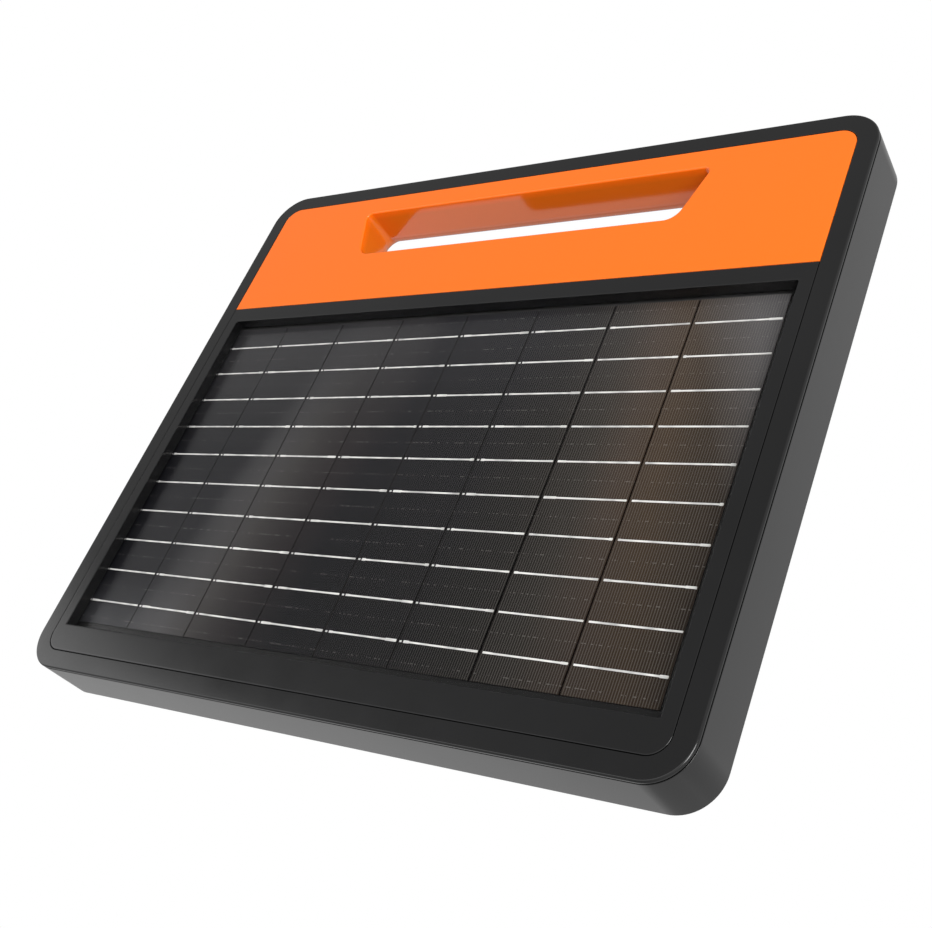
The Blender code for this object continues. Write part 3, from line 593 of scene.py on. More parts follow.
def zinc_plate():
    """Zinc-plated sheet steel: a cool base with pale and yellowish clouds and fine rolling lines."""
    shader = Shader("zinc_steel", (0.55, 0.56, 0.58), 0.36, 1.0)
    clouds = shader.noise(55, 5, roughness=0.65)
    tones = (0.32, (0.42, 0.45, 0.50)), (0.52, (0.60, 0.61, 0.62)), (0.68, (0.66, 0.63, 0.54))
    shader.link(shader.ramp(clouds, *tones), "Base Color")
    shader.link(shader.scale_range(clouds, 0.28, 0.46), "Roughness")
    shader.bump(shader.noise(1500, 3, (1, 1, 0.06)), 0.000008)


def silicon():
    """A solar cell under its glass, coloured with its own tones and with painted sheen and painted shade.
    Silver fingers run up and down over the cell's face, and a dotted row of finger joints lies half-way
    between two ribbons."""
    shader = Shader("silicon", (0.02, 0.02, 0.02), 0.30, Specular_IOR_Level=0.12)
    across, up = shader.along("X"), shader.along("Z")
    warp = shader.scale_range(shader.noise(16, 2, (1, 1, 0.5)), -0.006, 0.006)
    coating_with_sheen = coating_and_sheen(shader, across, up, warp)
    finger = shader.math("FRACT", shader.math("DIVIDE", across, FINGER_PITCH))
    finger = shader.math("LESS_THAN", finger, FINGER_SHARE)
    strength = shader.scale_range(shader.math("ADD", across, warp), 0.018, 0.28, -0.03, 0.09)
    coating_with_sheen = shader.mix("MIX", shader.math("MULTIPLY", finger, strength), coating_with_sheen, FINGER_SILVER)
    row = shader.math("DIVIDE", shader.math("SUBTRACT", up, BUSBAR_TOP), BUSBAR_PITCH)
    in_row = shader.math("COMPARE", shader.math("FRACT", row), 0.5, 0.013)
    dots = shader.math("GREATER_THAN", shader.noise(900, 1, (1, 1, 0.02)), 0.56)
    dotted = shader.math("MULTIPLY", shader.math("MULTIPLY", in_row, dots), JOINT_STRENGTH)
    shader.link(shader.mix("MIX", dotted, coating_with_sheen, JOINT_SILVER), "Base Color")
    shader.bump(shader.noise(2500, 2), 0.000004)


def coating_and_sheen(shader, across, up, warp):
    """The colour of the cells' face: their own tones, with bands of painted sheen that fan out upwards,
    painted shade and painted light near the panel's edges, a painted lighter top and a painted highlight at
    the top right corner.
    """
    fan = shader.math("MULTIPLY_ADD", up, SHEEN_FAN, 1 - SHEEN_FAN * SHEEN_FOOT)
    drift = shader.math("MULTIPLY", shader.math("SUBTRACT", across, SHEEN_CENTRE), fan)
    place = shader.zone(shader.math("ADD", drift, warp), (SHEEN_LEFT, SHEEN_RIGHT))
    coating_with_sheen = shader.ramp(place, *COATING_AND_SHEEN_STOPS)
    for blend, strength, colour, heights, places in EDGE_SHADE_AND_SHEEN:
        inside = shader.math("MULTIPLY", shader.zone(up, heights), shader.zone(across, places))
        coating_with_sheen = shader.mix(blend, shader.math("MULTIPLY", inside, strength), coating_with_sheen, (*colour, 1))
    coating_with_sheen = shader.mix("ADD", shader.zone(up, TOP_SHEEN_HEIGHT), coating_with_sheen, (*TOP_SHEEN, 1))
    corner = shader.zone(shader.math("MULTIPLY_ADD", across, CORNER_SLANT, up), CORNER_REACH)
    return shader.mix("ADD", corner, coating_with_sheen, (*CORNER_SHEEN, 1))


def back_sheet():
    """The dark sheet behind the cells, seen as lines between them and as a margin round them. The margin is
    painted lighter, painted light where the window's recess shades it.
    """
    shader = Shader("dark_sheet", (0.006, 0.006, 0.006), 0.35, Specular_IOR_Level=0.12)
    across, up = shader.along("X"), shader.along("Z")
    sheet = shader.ramp(shader.zone(across, (-0.16, 0.16)), *GAP_STOPS)
    low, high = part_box("solar_cell_8")
    above, beside = shader.math("GREATER_THAN", up, high.z), shader.math("GREATER_THAN", across, high.x)
    sheet = shader.mix("MIX", shader.math("MAXIMUM", above, beside), sheet, SHADED_MARGIN_PAINTED_LIGHT)
    below = shader.math("LESS_THAN", up, low.z)
    shader.link(shader.mix("MIX", below, sheet, LOWER_MARGIN_PAINTED_LIGHT), "Base Color")
    shader.bump(shader.noise(900, 2), 0.00001)


def clear_glass():
    """A thin anti-reflective sheet. It mirrors more at a slant, and lets the rest through."""
    shader = Shader("clear_sheet", (1, 1, 1), 0.12, 1.0)
    facing = shader.node("ShaderNodeLayerWeight", {"Blend": 0.5}).outputs["Facing"]
    shader.link(shader.math("MULTIPLY", shader.math("POWER", facing, 4.5), 0.8), "Alpha")
    texture = shader.noise(420, 2)
    shader.link(shader.scale_range(texture, 0.05, 0.08), "Roughness")
    shader.bump(texture, 0.000004)


def ribbon_metal():
    """Tinned copper: a pale dull metal with brighter solder runs along its length."""
    shader = Shader("ribbon_metal", (0.75, 0.74, 0.71), 0.42, 0.15)
    runs = shader.noise(260, 3, (0.5, 1, 1))
    shader.link(shader.ramp(runs, (0.32, (0.50, 0.49, 0.48)), (0.6, (0.82, 0.81, 0.78))), "Base Color")
    shader.link(shader.scale_range(runs, 0.32, 0.5), "Roughness")
    shader.bump(runs, 0.00003)


def wound_copper():
    """Enamelled wire whose turns are stacked up the Z axis."""
    shader = Shader("copper", WIRE_COPPER, 0.28, 0.9)
    shader.tint(shader.noise(300, 3, (0.2, 0.2, 1)), WIRE_COPPER, 0.25)
    shader.bump(shader.stripes("Z", 0.0006), 0.00012)


def laminated_steel():
    """Sheets stacked from front to back, whose edges show as fine lines, with a few specks of rust."""
    shader = Shader("core_steel", (0.24, 0.24, 0.25), 0.42, 0.9)
    tones = (0.35, (0.19, 0.19, 0.20)), (0.6, (0.27, 0.26, 0.26)), (0.75, (0.24, 0.17, 0.12))
    shader.link(shader.ramp(shader.noise(90, 5), *tones), "Base Color")
    shader.bump(shader.stripes("Y", 0.0005), 0.00005)


def circuit_board():
    """Green solder mask over raised copper tracks, with a pale printed grid."""
    shader = Shader("circuit_board", (0.012, 0.11, 0.035), 0.32)
    cells = shader.node("ShaderNodeTexBrick", {"Vector": shader.where, "Scale": 90.0, "Mortar Size": 0.03})
    tracks = shader.noise(120, 1, (1, 1, 0.15))
    mask = shader.ramp(tracks, (0.44, (0.008, 0.075, 0.024)), (0.5, (0.020, 0.17, 0.055)))
    grid = shader.math("MULTIPLY", cells.outputs["Fac"], 0.5)
    shader.link(shader.mix("MIX", grid, mask, (0.35, 0.36, 0.30, 1)), "Base Color")
    shader.bump(tracks, 0.00003)


def printed_sleeve(name, colour, band, pitch=0.11, share=0.12):
    """A shrunk sleeve with plain bands of a second colour and soft wrinkles."""
    shader = Shader(name, colour, 0.28)
    place = shader.math("FRACT", shader.math("DIVIDE", shader.along("X"), pitch))
    inside = shader.math("LESS_THAN", place, share)
    shader.link(shader.mix("MIX", inside, (*colour, 1), (*band, 1)), "Base Color")
    shader.bump(shader.noise(160, 3, (0.4, 1, 1)), 0.00006)


def make_materials():
    moulded("case_plastic", CHARCOAL, 0.14, grain=0.000008, spread=0.2)
    orange_shell()
    moulded("red_plastic", (0.50, 0.010, 0.010), 0.28)
    moulded("green_plastic", (0.008, 0.15, 0.030), 0.28)
    moulded("black_rubber", (0.012, 0.012, 0.012), 0.62, grain=0.00003, spread=0.2)
    back_sheet()
    moulded("chip_black", (0.014, 0.014, 0.015), 0.48, grain=0.00002, spread=0.15)
    moulded("film_box", (0.035, 0.11, 0.36), 0.26)
    moulded("lead_red", (0.42, 0.012, 0.010), 0.38, spread=0.06)
    moulded("lead_black", (0.012, 0.012, 0.012), 0.40)
    moulded("lens_green", (0.10, 0.50, 0.18), 0.12, grain=0.000001, Transmission_Weight=0.6)
    printed_sleeve("battery_wrap", (0.02, 0.10, 0.34), (0.60, 0.60, 0.58))
    silicon()
    clear_glass()
    ribbon_metal()
    circuit_board()
    laminated_steel()
    wound_copper()
    zinc_plate()
    worked_metal("stainless", (0.62, 0.61, 0.60), 0.26, (0.3, 0.3, 0.3))
    worked_metal("nickel", (0.66, 0.62, 0.55), 0.30, (0.1, 1, 1))
    worked_metal("aluminium", (0.72, 0.73, 0.74), 0.34, (1, 1, 0.05))


# The front of the case.


def front_frame():
    """The ring round the front, with its ledge. Its outer edge is rounded and its inner edge crisp."""
    edge, crisp = 0.0009, 0.00025
    points = [
        (0, FRAME_EDGE),
        (0, 0),
        (FRAME_WIDTH, 0),
        (FRAME_WIDTH, PANEL_THICKNESS + GAP),
        (FRAME_LEDGE, PANEL_THICKNESS + GAP),
        (FRAME_LEDGE, FRAME_BACK),
        (FRAME_SKIRT, FRAME_BACK),
        (FRAME_SKIRT, FRAME_EDGE),
    ]
    radii = (TINY, edge, crisp, 0, 0, crisp, crisp, 0)
    path = rounded(points, radii, steps=EDGE_STEPS)
    skin = Skin()
    skin.sweep(case_outline, path, closed=True)
    ring = skin.finished("front_frame_ring")
    add(ring, *rods(CASE_SCREWS, FRAME_POST))
    cut(ring, *rods(CASE_SCREWS, FRAME_PILOT))
    finish_piece(ring, "case_plastic", replaces=["front_frame"])


def panel_outline(bottom, top, low_radius, high_radius):
    """The outline of a front panel that fills the frame between two heights, as a function of its inset."""
    half = WIDTH / 2 - PANEL_INSET

    def outline(inset):
        side, low, high = half - inset, bottom + inset, top - inset
        corners = ((-side, low), (side, low), (side, high), (-side, high))
        low_corner, high_corner = max(low_radius - inset, TINY), max(high_radius - inset, TINY)
        return rounded(corners, (low_corner, low_corner, high_corner, high_corner))

    return outline


def sleeve_path():
    """The section of the handle's sleeve as (growth at the sides and top, depth, growth at the bottom): the
    rounded front edge, the straight grip, the flare, the back rim and the outside of the sleeve."""
    edge = 0.001
    path = []
    for step in range(EDGE_STEPS + 1):
        turn = math.pi / 2 * step / EDGE_STEPS
        grow = edge * (1 - math.sin(turn))
        depth = edge * (1 - math.cos(turn))
        path.append((grow, depth + FASCIA_FACE, grow))
    for step in range(ARC_STEPS + 1):
        turn = math.pi / 2 * step / ARC_STEPS
        reach = (BODY_DEPTH - FLARE_START) * math.sin(turn)
        path.append((FLARE * (1 - math.cos(turn)), FLARE_START + reach, 0))
    rim = FLARE + SLEEVE_WALL
    path.append((rim, BODY_DEPTH, SLEEVE_WALL))
    path.append((rim, SLEEVE_BACK, SLEEVE_WALL))
    path.append((SLEEVE_WALL, SLEEVE_BACK, SLEEVE_WALL))
    path.append((SLEEVE_WALL, PANEL_THICKNESS, SLEEVE_WALL))
    return path


def handle_fascia():
    """The orange panel with the handle's sleeve."""
    outline = panel_outline(SPLIT_HEIGHT + GAP / 2, HEIGHT - PANEL_INSET, TINY, CORNER_RADIUS - PANEL_INSET)
    skin = Skin()
    rim = profile([(0, PANEL_THICKNESS), (0, FASCIA_FACE), (0.001, FASCIA_FACE)], (0, 0.0003, 0))
    back, front = skin.sweep(outline, rim)
    rings = [skin.ring(handle_outline(grow, grow, low), depth) for grow, depth, low in sleeve_path()]
    skin.wall(rings)
    skin.cap(front, rings[0])
    skin.cap(back, rings[-1])
    panel = skin.finished("handle_panel")
    finish_piece(panel, "orange_plastic", replaces=["handle_fascia"])


def panel_surround():
    """The charcoal panel round the window, whose recess wall reaches back to the solar panel."""
    outline = panel_outline(PANEL_INSET, SPLIT_HEIGHT - GAP / 2, CORNER_RADIUS - PANEL_INSET, TINY)
    skin = Skin()
    rim = profile([(0, PANEL_THICKNESS), (0, 0), (0.001, 0)], (0, 0.0003, 0))
    back, front = skin.sweep(outline, rim)
    inside = WINDOW_DEPTH - GAP
    recess = profile(
        [(0.0008, 0), (0, 0), (0, inside), (WINDOW_WALL, inside), (WINDOW_WALL, PANEL_THICKNESS)],
        (0, 0.0003, 0, 0, 0),
    )
    first, last = skin.sweep(window_outline, recess)
    skin.cap(front, first)
    skin.cap(back, last)
    panel = skin.finished("window_surround")
    low = (-TONGUE_HALF_WIDTH, world_y(PANEL_THICKNESS - GAP), TONGUE_BOTTOM)
    high = (TONGUE_HALF_WIDTH, world_y(TONGUE_BACK), TONGUE_TOP)
    add(panel, block(low, high))
    finish_piece(panel, "case_plastic", replaces=["panel_surround"])


# The back shell.


def rear_housing():
    """Side walls, back, raised housing and its pockets, each a wall between rings with flat caps between."""
    skin = Skin()
    floor = BODY_DEPTH - WALL
    shelf, shelf_front, shelf_back = 0.0055, 0.0075, 0.0095
    front = FRAME_EDGE + SEAM
    outside = [(0.004, floor), (WALL, floor), (WALL, shelf_back), (shelf, shelf_back), (shelf, shelf_front)]
    outside += [(WALL, shelf_front), (WALL, front), (0, front), (0, BODY_DEPTH), (0.003, BODY_DEPTH)]
    outside = profile(outside, (0, 0.001, 0, 0, 0, 0, 0, 0.0002, 0.0004, 0))
    inner_edge, outer_edge = skin.sweep(case_outline, outside)
    flange = FLARE + SLEEVE_WALL + GAP
    slot_outline = handle_outline(flange, flange, SLEEVE_WALL + GAP)
    slot_inside, slot_outside = skin.tube(slot_outline, floor, BODY_DEPTH)
    rise = [(-0.0006, BODY_DEPTH), (0, BODY_DEPTH), (0, TOTAL_DEPTH), (0.004, TOTAL_DEPTH)]
    rise = profile(rise, (0, 0.0005, 0.0022, 0))
    hump_base, hump_edge = skin.sweep(hump_outline, rise)
    ceiling = TOTAL_DEPTH - WALL
    hollow = profile([(WALL, floor), (WALL, ceiling), (0.004, ceiling)], (0, 0.001, 0))
    hollow_base, hollow_edge = skin.sweep(hump_outline, hollow)
    skin.cap(outer_edge, slot_outside, hump_base)
    skin.cap(inner_edge, slot_inside, hollow_base)
    outer_holes, inner_holes = [], []
    for opening in (button_guide, light_slot, vent_seat):
        outer, inner = opening(skin, ceiling)
        outer_holes.append(outer)
        inner_holes.append(inner)
    skin.cap(hump_edge, *outer_holes)
    skin.cap(hollow_edge, *inner_holes)
    shell = skin.finished("rear_shell")
    add(shell, pocket_rim())
    cut(shell, *pocket_cutters())
    add(shell, *bosses())
    cut(shell, *screw_holes())
    finish_piece(shell, "case_plastic", replaces=["rear_housing"])


def pocket_rim():
    """The thickened wall round the battery cover's pocket."""
    left, right, bottom, top = BATTERY_COVER
    grow = 0.003
    front, back = 0.0385, 0.0435
    return plate([rectangle(left - grow, right + grow, bottom - grow, top + grow, grow)], front, back)


def pocket_cutters():
    """The pocket for the battery cover, flared at its mouth, and the opening through its floor."""
    pocket = Skin()
    floor_depth = COVER_FRONT - GAP
    path = [(-GAP, floor_depth), (-GAP, TOTAL_DEPTH - 0.0003), (-0.0016, TOTAL_DEPTH + 0.001)]
    floor, mouth = pocket.sweep(cover_outline, path)
    pocket.cap(floor)
    pocket.cap(mouth)
    return pocket.finished("pocket"), plate([cover_outline(0.012, 0.015)], 0.037, floor_depth + 0.001)


def button_guide(skin, ceiling):
    """The tube that guides the push button, open at the back and with a hole for its stem in front."""
    hole, chamfer, wall = BUTTON_RADIUS + GAP, 0.0005, 0.002
    floor_front, floor_back = GUIDE_FLOOR
    top = skin.ring(circle(BUTTON, hole + chamfer), TOTAL_DEPTH)
    mouth = skin.ring(circle(BUTTON, hole), TOTAL_DEPTH - chamfer)
    floor = skin.ring(circle(BUTTON, hole), floor_back)
    skin.wall([top, mouth, floor])
    throat_back, throat_front = skin.tube(circle(BUTTON, STEM_HOLE), floor_back, floor_front)
    skin.cap(floor, throat_back)
    tube_front, inner = skin.tube(circle(BUTTON, hole + wall), floor_front, ceiling)
    skin.cap(tube_front, throat_front)
    return top, inner


def light_slot(skin, ceiling):
    half_width, half_height = LIGHT_HALF_WIDTH + GAP, LIGHT_HALF_HEIGHT + GAP
    x, z = LIGHT
    outline = rectangle(x - half_width, x + half_width, z - half_height, z + half_height, 0.0008)
    return skin.tube(outline, TOTAL_DEPTH, ceiling)


def vent_seat(skin, ceiling):
    seat_depth = TOTAL_DEPTH - VENT_SEAT
    outer, seat = skin.tube(circle(VENT, VENT_RADIUS), TOTAL_DEPTH, seat_depth)
    throat, inner = skin.tube(circle(VENT, VENT_THROAT), seat_depth, ceiling)
    skin.cap(seat, throat)
    return outer, inner


def bosses():
    """The posts and bosses inside the shell."""
    posts = [rod(x, z, BOARD_POST_RADIUS, BOARD_POST_FRONT, back) for x, z, back in BOARD_POSTS]
    others = rods(TERMINAL_PLACES, TERMINAL_BOSS) + rods(BRACKET_SCREWS, BRACKET_BOSS)
    return rods(CASE_SCREWS, CASE_BOSS) + posts + others


def screw_holes():
    """The clearance, seat and pilot holes of the shell."""
    case = rods(CASE_SCREWS, CASE_CLEARANCE) + rods(CASE_SCREWS, CASE_HEAD_SEAT)
    pilots = rods(BRACKET_SCREWS, BRACKET_PILOT) + rods(COVER_SCREWS, COVER_PILOT)
    return case + rods(TERMINAL_PLACES, TERMINAL_BORE) + pilots


# The fittings on the back.


def thread(radius, back, front, pitch=0.0007, depth=0.00028):
    """The ridges of a thread as (radius, depth), from back to front."""
    count = int((back - front) / pitch)
    points = []
    for turn in range(count):
        points.append((radius, back - turn * pitch))
        points.append((radius - depth, back - (turn + 0.5) * pitch))
    return points + [(radius, back - count * pitch)]


def cross_slots(x, z, deep, back, arm, web):
    """The crossed slots of a screw head, as two blocks to cut away."""
    near, far = world_y(deep), world_y(back) + 5 * TINY
    return (
        block((x - arm, near, z - web), (x + arm, far, z + web)),
        block((x - web, near, z - arm), (x + web, far, z + arm)),
    )


def cross_heads(kind, places, head, shank, recess):
    """Cross-head screws. Head and shank list (radius, depth). The recess is its depth, arm and web."""
    deep, arm, web = recess
    for number, (x, z) in enumerate(places, 1):
        piece = turned(head + shank, x, z, 32)
        cut(piece, *cross_slots(x, z, deep, head[0][1], arm, web))
        finish_detailed(piece, f"{kind}_{number}", "stainless")


def screws():
    """The case's countersunk screws, the battery cover's cheese-heads and the bracket's domed screws."""
    head = profile(
        [(0, 0.0278), (0.0026, 0.0278), (0.0032, 0.0272), (0.0032, 0.0254), (0.0015, 0.0254)],
        (0, 0.0003, 0.0003, 0.0001, 0),
    )
    shank = thread(0.0015, 0.0249, 0.0085) + [(0.0015, 0.0080), (0, 0.0065)]
    cross_heads("case_screw", CASE_SCREWS, head, shank, (0.0264, 0.0018, 0.00035))
    head = [(0, 0.0449), (0.0027, 0.0449), (0.0027, 0.0439), (0.0013, 0.0439)]
    head = profile(head, (0, 0.0003, 0.0001, 0))
    shank = thread(0.0013, 0.0434, 0.0350) + [(0.0013, 0.0345), (0, 0.0335)]
    cross_heads("battery_cover_screw", COVER_SCREWS, head, shank, (0.0443, 0.0016, 0.0003))
    head = profile(
        [(0, 0.0328), (0.0028, 0.0325), (0.0036, 0.0314), (0.0036, 0.0306), (0.0016, 0.0306)],
        (0, 0.0010, 0.0006, 0.0001, 0),
    )
    shank = thread(0.0016, 0.0302, 0.0205) + [(0.0016, 0.0200), (0, 0.0185)]
    cross_heads("bracket_screw", BRACKET_SCREWS, head, shank, (0.0314, 0.0020, 0.0004))


def battery_cover():
    """The screwed cover, with counterbored screw holes and a grooved field."""
    left, right = BATTERY_COVER[:2]
    cover = plate([cover_outline(0)], COVER_FRONT, TOTAL_DEPTH, edge=0.0004)
    over = TOTAL_DEPTH + 0.001
    tools = []
    for x, z in COVER_SCREWS:
        tools.append(rod(x, z, 0.0031, 0.0436, over))
        tools.append(rod(x, z, 0.0017, COVER_FRONT - 0.001, 0.0440))
    for row in range(COVER_GROOVES):
        z = COVER_GROOVE_Z + COVER_GROOVE_PITCH * row
        floor = world_y(TOTAL_DEPTH - COVER_GROOVE_DEPTH)
        low = (left + COVER_GROOVE_MARGIN, floor, z - COVER_GROOVE_HALF_WIDTH)
        high = (right - COVER_GROOVE_MARGIN, world_y(over), z + COVER_GROOVE_HALF_WIDTH)
        tools.append(block(low, high, edge=0.0004))
    cut(cover, *tools)
    finish_detailed(cover, "battery_cover", "case_plastic")


def push_button():
    """The dished push button, with two grooves round its face so that a thumb finds it, and its stem."""
    face = [(0, 0.0440), (0.0020, 0.04405), (0.0020, 0.0437), (0.0025, 0.0437), (0.0025, 0.0441)]
    face += [(0.0044, 0.0442), (0.0044, 0.0438), (0.0049, 0.0438), (0.0049, 0.0443)]
    rim = profile(
        [(0.0062, 0.0444), (0.0072, 0.0446), (0.0080, 0.0438), (0.0080, 0.0400), (0.0030, 0.0400)],
        (0, 0.0006, 0.0006, 0.0003, 0),
    )
    stem = [(0.0030, 0.0297), (0.0042, 0.0297), (0.0042, 0.0285), (0.0030, 0.0285)]
    stem += [(0.0030, 0.0191), (0.0025, 0.0186), (0, 0.0186)]
    button = turned(face + rim + stem, *BUTTON)
    finish_detailed(button, "power_button", "orange_plastic", body="power_button")


def status_light():
    """The clear light pipe, with rounded edges and two grooves along its window."""
    low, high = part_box("light_pipe")
    pipe = block(low, high, edge=0.0005)
    offset, half_length, half_width, depth = 0.0008, 0.0095, 0.0002, 0.0003
    grooves = []
    for z in (LIGHT[1] - offset, LIGHT[1] + offset):
        near = (LIGHT[0] - half_length, high.y - depth, z - half_width)
        far = (LIGHT[0] + half_length, high.y + 0.001, z + half_width)
        grooves.append(block(near, far))
    cut(pipe, *grooves)
    finish_detailed(pipe, "light_pipe", "lens_green")


def breather():
    """The moulded breather cap, with six holes round a raised centre."""
    path = profile(
        [(0, 0.0449), (0.0018, 0.0449), (0.0022, 0.0446), (0.0052, 0.0446), (0.0056, 0.0449)],
        (0, 0.0002, 0.0002, 0.0002, 0),
    )
    path += profile(
        [(0.0066, 0.0449), (0.0070, 0.0445), (0.0070, 0.0441), (0.0040, 0.0441), (0.0040, 0.0395)],
        (0, 0.0002, 0, 0, 0),
    )
    cap = turned(path + [(0, 0.0395)], *VENT)
    hole_ring, hole_radius = 0.0037, 0.0007
    cut(cap, *[rod(x, z, hole_radius, 0.0443, 0.0460, 24) for x, z in circle(VENT, hole_ring, 6)])
    finish_detailed(cap, "breather_vent", "black_rubber")


def knob_outline(x, inset):
    """The fluted outline of a terminal's knob."""
    points = []
    for step in range(KNOB_STEPS):
        angle = 2 * math.pi * step / KNOB_STEPS
        radius = KNOB_RADIUS - inset - KNOB_FLUTE * (1 - math.cos(KNOB_FLUTES * angle)) / 2
        points.append((x + radius * math.cos(angle), TERMINAL_Z + radius * math.sin(angle)))
    return points


def terminal(side, plastic):
    """A threaded stud, its clamping washer and its fluted knob."""
    x = TERMINALS[side]
    path = [(0, 0.0400), (0.0020, 0.0400)] + thread(0.0025, 0.0395, 0.0256)
    path += [(0.0025, 0.0252), (0.0050, 0.0252), (0.0050, 0.0217), (0, 0.0217)]
    stud = turned(path, x, TERMINAL_Z, 48)
    finish_detailed(stud, f"{side}_stud", "stainless")

    bore = circle((x, TERMINAL_Z), BORE_RADIUS)
    washer = plate([circle((x, TERMINAL_Z), 0.0080, 96), bore], 0.0298, 0.0310, edge=0.0002)
    finish_detailed(washer, f"{side}_washer", "stainless", body=f"{side}_clamp")

    skin = Skin()
    front, back = 0.0313, 0.0435
    dish = back - 0.0004
    outside = profile(
        [(0.0012, front), (0, front), (0, back), (0.0030, back), (0.0034, dish), (0.0040, dish)],
        (0, 0.0005, 0.0010, 0.0002, 0.0002, 0),
    )
    foot, crown = skin.sweep(lambda inset: knob_outline(x, inset), outside)
    skin.cap(crown)
    mouth, end = skin.tube(bore, front, 0.0415)
    skin.cap(foot, mouth)
    skin.cap(end)
    finish_detailed(skin.finished("knob"), f"{side}_knob", plastic, body=f"{side}_knob", angle=50)


def post_bracket():
    """The bent steel strap, with round bends, two keyholes and two screw holes. Its feet are as long as the
    toe, and its face starts at the rise. The lean keeps the sloping steps as thick as the rest."""
    foot, face, steel = BODY_DEPTH + GAP, TOTAL_DEPTH, 0.002
    low, high = 0.092, 0.238
    toe, rise, lean = 0.015, 0.021, 0.0013
    corners = [
        (foot + steel, low),
        (foot + steel, low + toe - lean),
        (face, low + rise - lean),
        (face, high - rise + lean),
        (foot + steel, high - toe + lean),
        (foot + steel, high),
        (foot, high),
        (foot, high - toe),
        (face - steel, high - rise),
        (face - steel, low + rise),
        (foot, low + toe),
        (foot, low),
    ]
    end, inner, outer = 0.0003, 0.0012, 0.0030
    radii = (end, inner, outer, outer, inner, end, end, outer, inner, inner, outer, end)
    section = rounded(corners, radii, steps=8)
    shape = bmesh.new()
    sides = []
    for x in (BRACKET_X - BRACKET_HALF_WIDTH, BRACKET_X + BRACKET_HALF_WIDTH):
        sides.append([shape.verts.new((x, world_y(depth), z)) for depth, z in section])
    near, far = sides
    for i in range(len(near)):
        shape.faces.new((near[i - 1], near[i], far[i], far[i - 1]))
    for side in sides:
        for triangle in geometry.tessellate_polygon([[vert.co for vert in side]]):
            shape.faces.new([side[i] for i in triangle])
    bmesh.ops.recalc_face_normals(shape, faces=shape.faces)
    strap = object_of("strap", shape)
    before, behind = face - 0.005, face + 0.002
    tools = []
    for z in KEYHOLE_Z:
        slot = rectangle(BRACKET_X - KEYHOLE_SLOT, BRACKET_X + KEYHOLE_SLOT, z, z + KEYHOLE_RISE)
        tools.append(rod(BRACKET_X, z, KEYHOLE_RADIUS, before, behind))
        tools.append(plate([slot], before, behind))
        tools.append(rod(BRACKET_X, z + KEYHOLE_RISE, KEYHOLE_SLOT, before, behind))
    cut(strap, *tools, *rods(BRACKET_SCREWS, BRACKET_CLEARANCE))
    finish_detailed(strap, "post_bracket", "zinc_steel")


def carried_over():
    """Every CAD part takes the material of its finish slot."""
    for part in frame["record"]["subparts"]:
        slots = frame["nodes"][part["node"]].data.materials
        slots.clear()
        slots.append(MATERIALS[part["material_slot"]])


# The solar panel.


def solar_panel():
    low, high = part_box("panel_cover")
    cover = block(low, high, edge=0.0002, segments=2)
    cover.name = "panel_glass"
    finish_piece(cover, "clear_sheet", replaces=["panel_cover"])
    for number in range(1, 9):
        busbars(number)


def busbars(number):
    """The flat tinned ribbons across a cell: a tab at its left edge, a long run and two solder lumps."""
    low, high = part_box(f"solar_cell_{number}")
    chance = random.Random(number)
    shape = bmesh.new()
    front, back = low.y - BUSBAR_FRONT, low.y + BUSBAR_BACK
    tabbed = number <= LAST_TABBED_CELL
    start = low.x + (BUSBAR_START if tabbed else BUSBAR_START_RIGHT)
    end = high.x - BUSBAR_END
    for row in range(BUSBAR_COUNT):
        z = BUSBAR_TOP - BUSBAR_PITCH * row
        runs = [(start, end, BUSBAR_WIDTH, front)]
        if tabbed:
            runs.append((low.x + TAB_START, low.x + TAB_END, BUSBAR_WIDTH, front))
        lumps = (start, start + chance.uniform(*LUMP_LENGTH)), (end - chance.uniform(*LUMP_LENGTH), end)
        for left, right in lumps:
            width = BUSBAR_WIDTH * chance.uniform(*LUMP_WIDTH)
            runs.append((left + LUMP_MARGIN, right - LUMP_MARGIN, width, front - LUMP_RISE))
        for left, right, width, face in runs:
            add_box(shape, Vector((left, face, z - width / 2)), Vector((right, back, z + width / 2)))
    finish_piece(object_of(f"ribbons_{number}", shape), "ribbon_metal", slot="nickel")


# Camera, lights and stage.

CAMERA_PLACE = (0.36040, -0.34960 + FRONT_Y, -0.11244)
CAMERA_TURN = (118.06415, -20.87737, 31.95649)
LENS, SENSOR_WIDTH = 48.707, 36

# Levels of the room's light by height, from straight down (-1) to straight up (1), and by how far right.
STUDIO_UP = (-0.056, -0.30, 1.0)
ROOM_STOPS = (
    (-0.67, 0.42),
    (-0.50, 0.55),
    (-0.43, 0.60),
    (-0.30, 0.635),
    (-0.20, 0.60),
    (0.04, 0.44),
    (0.24, 0.415),
    (0.39, 0.41),
    (1, 0.42),
)
RIGHT_STOPS = ((-0.3, 1.0), (0.5, 1.75))
# A dimmer patch behind the right of the object.
SHADE_SIDE = (0.72, 0.66, -0.12)
SHADE_STOPS = ((0.86, 1.0), (0.97, 0.55))
# A bright wall in front on the left, which ends below the ceiling.
GLOW_SIDE = (-0.8, -0.6, 0)
GLOW_STOPS = ((0.2, 0.0), (0.75, 1.0))
GLOW_HEIGHT_STOPS = ((-0.15, 0.0), (0.15, 1.25), (0.380, 1.45), (0.428, 0.0))
# Light off the floor behind the object on the left.
BOUNCE_SIDE = (-0.53, 0.60, -0.61)
BOUNCE_STOPS = ((0.935, 0.0), (0.975, 0.72))

KEY_PLACE = (1.5, -1.2, -0.15)
KEY_TARGET = (0, 0, 0.15)
KEY_POWER = 27.5
KEY_SIZE = 0.9

FLOOR_HALF_SIZE = 30
FLOOR_DROP = 0.0005
FLOOR_FADE = (0.2, 1.6)
FLOOR_ALBEDO, FLOOR_GLOW = 0.55, 0.42


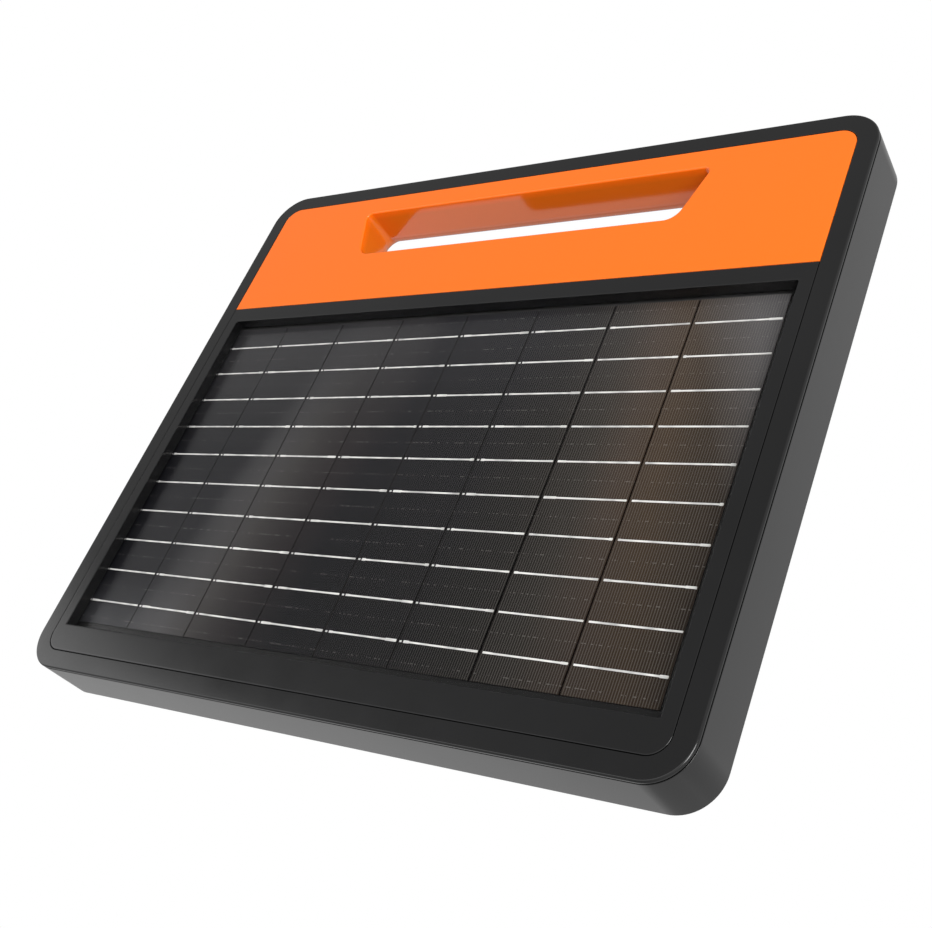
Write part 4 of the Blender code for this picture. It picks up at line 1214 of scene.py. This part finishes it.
def camera():
    data = bpy.data.cameras.new("camera")
    data.sensor_fit = "HORIZONTAL"
    data.sensor_width = SENSOR_WIDTH
    data.lens = LENS
    view = linked(bpy.data.objects.new("camera", data))
    view.location = CAMERA_PLACE
    view.rotation_euler = [math.radians(turn) for turn in CAMERA_TURN]
    bpy.context.scene.camera = view


def surroundings():
    """A grey studio, with a bright wall in front on the left. The camera sees plain white."""
    world = bpy.data.worlds.new("studio")
    bpy.context.scene.world = world
    world.use_nodes = True
    nodes = Nodes(world.node_tree)
    where = nodes.node("ShaderNodeTexCoord").outputs["Generated"]

    def graded(axis, low, stops):
        """Grey levels at places along an axis, which runs from low to 1."""
        along = nodes.vector("DOT_PRODUCT", where, Vector(axis).normalized(), "Value")
        greys = [((place - low) / (1 - low), (level,) * 3) for place, level in stops]
        return nodes.ramp(nodes.zone(along, (low, 1)), *greys)

    room = nodes.vector("MULTIPLY", graded(STUDIO_UP, -1, ROOM_STOPS), graded((1, 0, 0), -1, RIGHT_STOPS))
    room = nodes.vector("MULTIPLY", room, graded(SHADE_SIDE, 0, SHADE_STOPS))
    wall = graded(STUDIO_UP, -1, GLOW_HEIGHT_STOPS)
    glow = nodes.vector("MULTIPLY", wall, graded(GLOW_SIDE, 0, GLOW_STOPS))
    light = nodes.vector("ADD", nodes.vector("ADD", room, glow), graded(BOUNCE_SIDE, 0, BOUNCE_STOPS))
    studio = nodes.tree.nodes["Background"]
    nodes.tree.links.new(light, studio.inputs["Color"])
    white = nodes.node("ShaderNodeBackground", {"Color": (1, 1, 1, 1)})
    nodes.show(nodes.seen(), studio, white, "World Output")


def key_light():
    """A large soft lamp to the right of the camera, aimed at the middle of the front."""
    data = bpy.data.lights.new("key", "AREA")
    data.energy = KEY_POWER
    data.size = KEY_SIZE
    lamp = linked(bpy.data.objects.new("key", data))
    lamp.location = KEY_PLACE
    lamp.rotation_euler = (Vector(KEY_PLACE) - Vector(KEY_TARGET)).to_track_quat("Z", "Y").to_euler()


def stage():
    """A pale floor that fades into the white of the room. Only a camera above it sees it."""
    shape = bmesh.new()
    bmesh.ops.create_grid(shape, x_segments=1, y_segments=1, size=FLOOR_HALF_SIZE)
    floor = linked(object_of("floor", shape))
    floor.location.z = -FLOOR_DROP
    shader = Shader("floor", roughness=0.8, Specular_IOR_Level=0.1, Emission_Strength=1.0)
    distance = shader.vector("LENGTH", shader.where, output="Value")
    for socket, near, far in (("Base Color", FLOOR_ALBEDO, 0), ("Emission Color", FLOOR_GLOW, 1)):
        fade = shader.scale_range(distance, near, far, *FLOOR_FADE, interpolation_type="SMOOTHSTEP")
        shader.link(fade, socket)
    below = shader.node("ShaderNodeNewGeometry").outputs["Backfacing"]
    above = shader.math("MULTIPLY", shader.math("SUBTRACT", 1, below), shader.seen())
    clear = shader.node("ShaderNodeBsdfTransparent")
    shader.show(above, clear, shader.base, "Material Output")
    floor.data.materials.append(shader.material)


make_materials()
camera()
surroundings()
key_light()
stage()
front_frame()
handle_fascia()
panel_surround()
rear_housing()
carried_over()
screws()
battery_cover()
push_button()
status_light()
breather()
terminal("fence", "red_plastic")
terminal("earth", "green_plastic")
post_bracket()
solar_panel()
bpy.context.scene.view_settings.view_transform = "Standard"
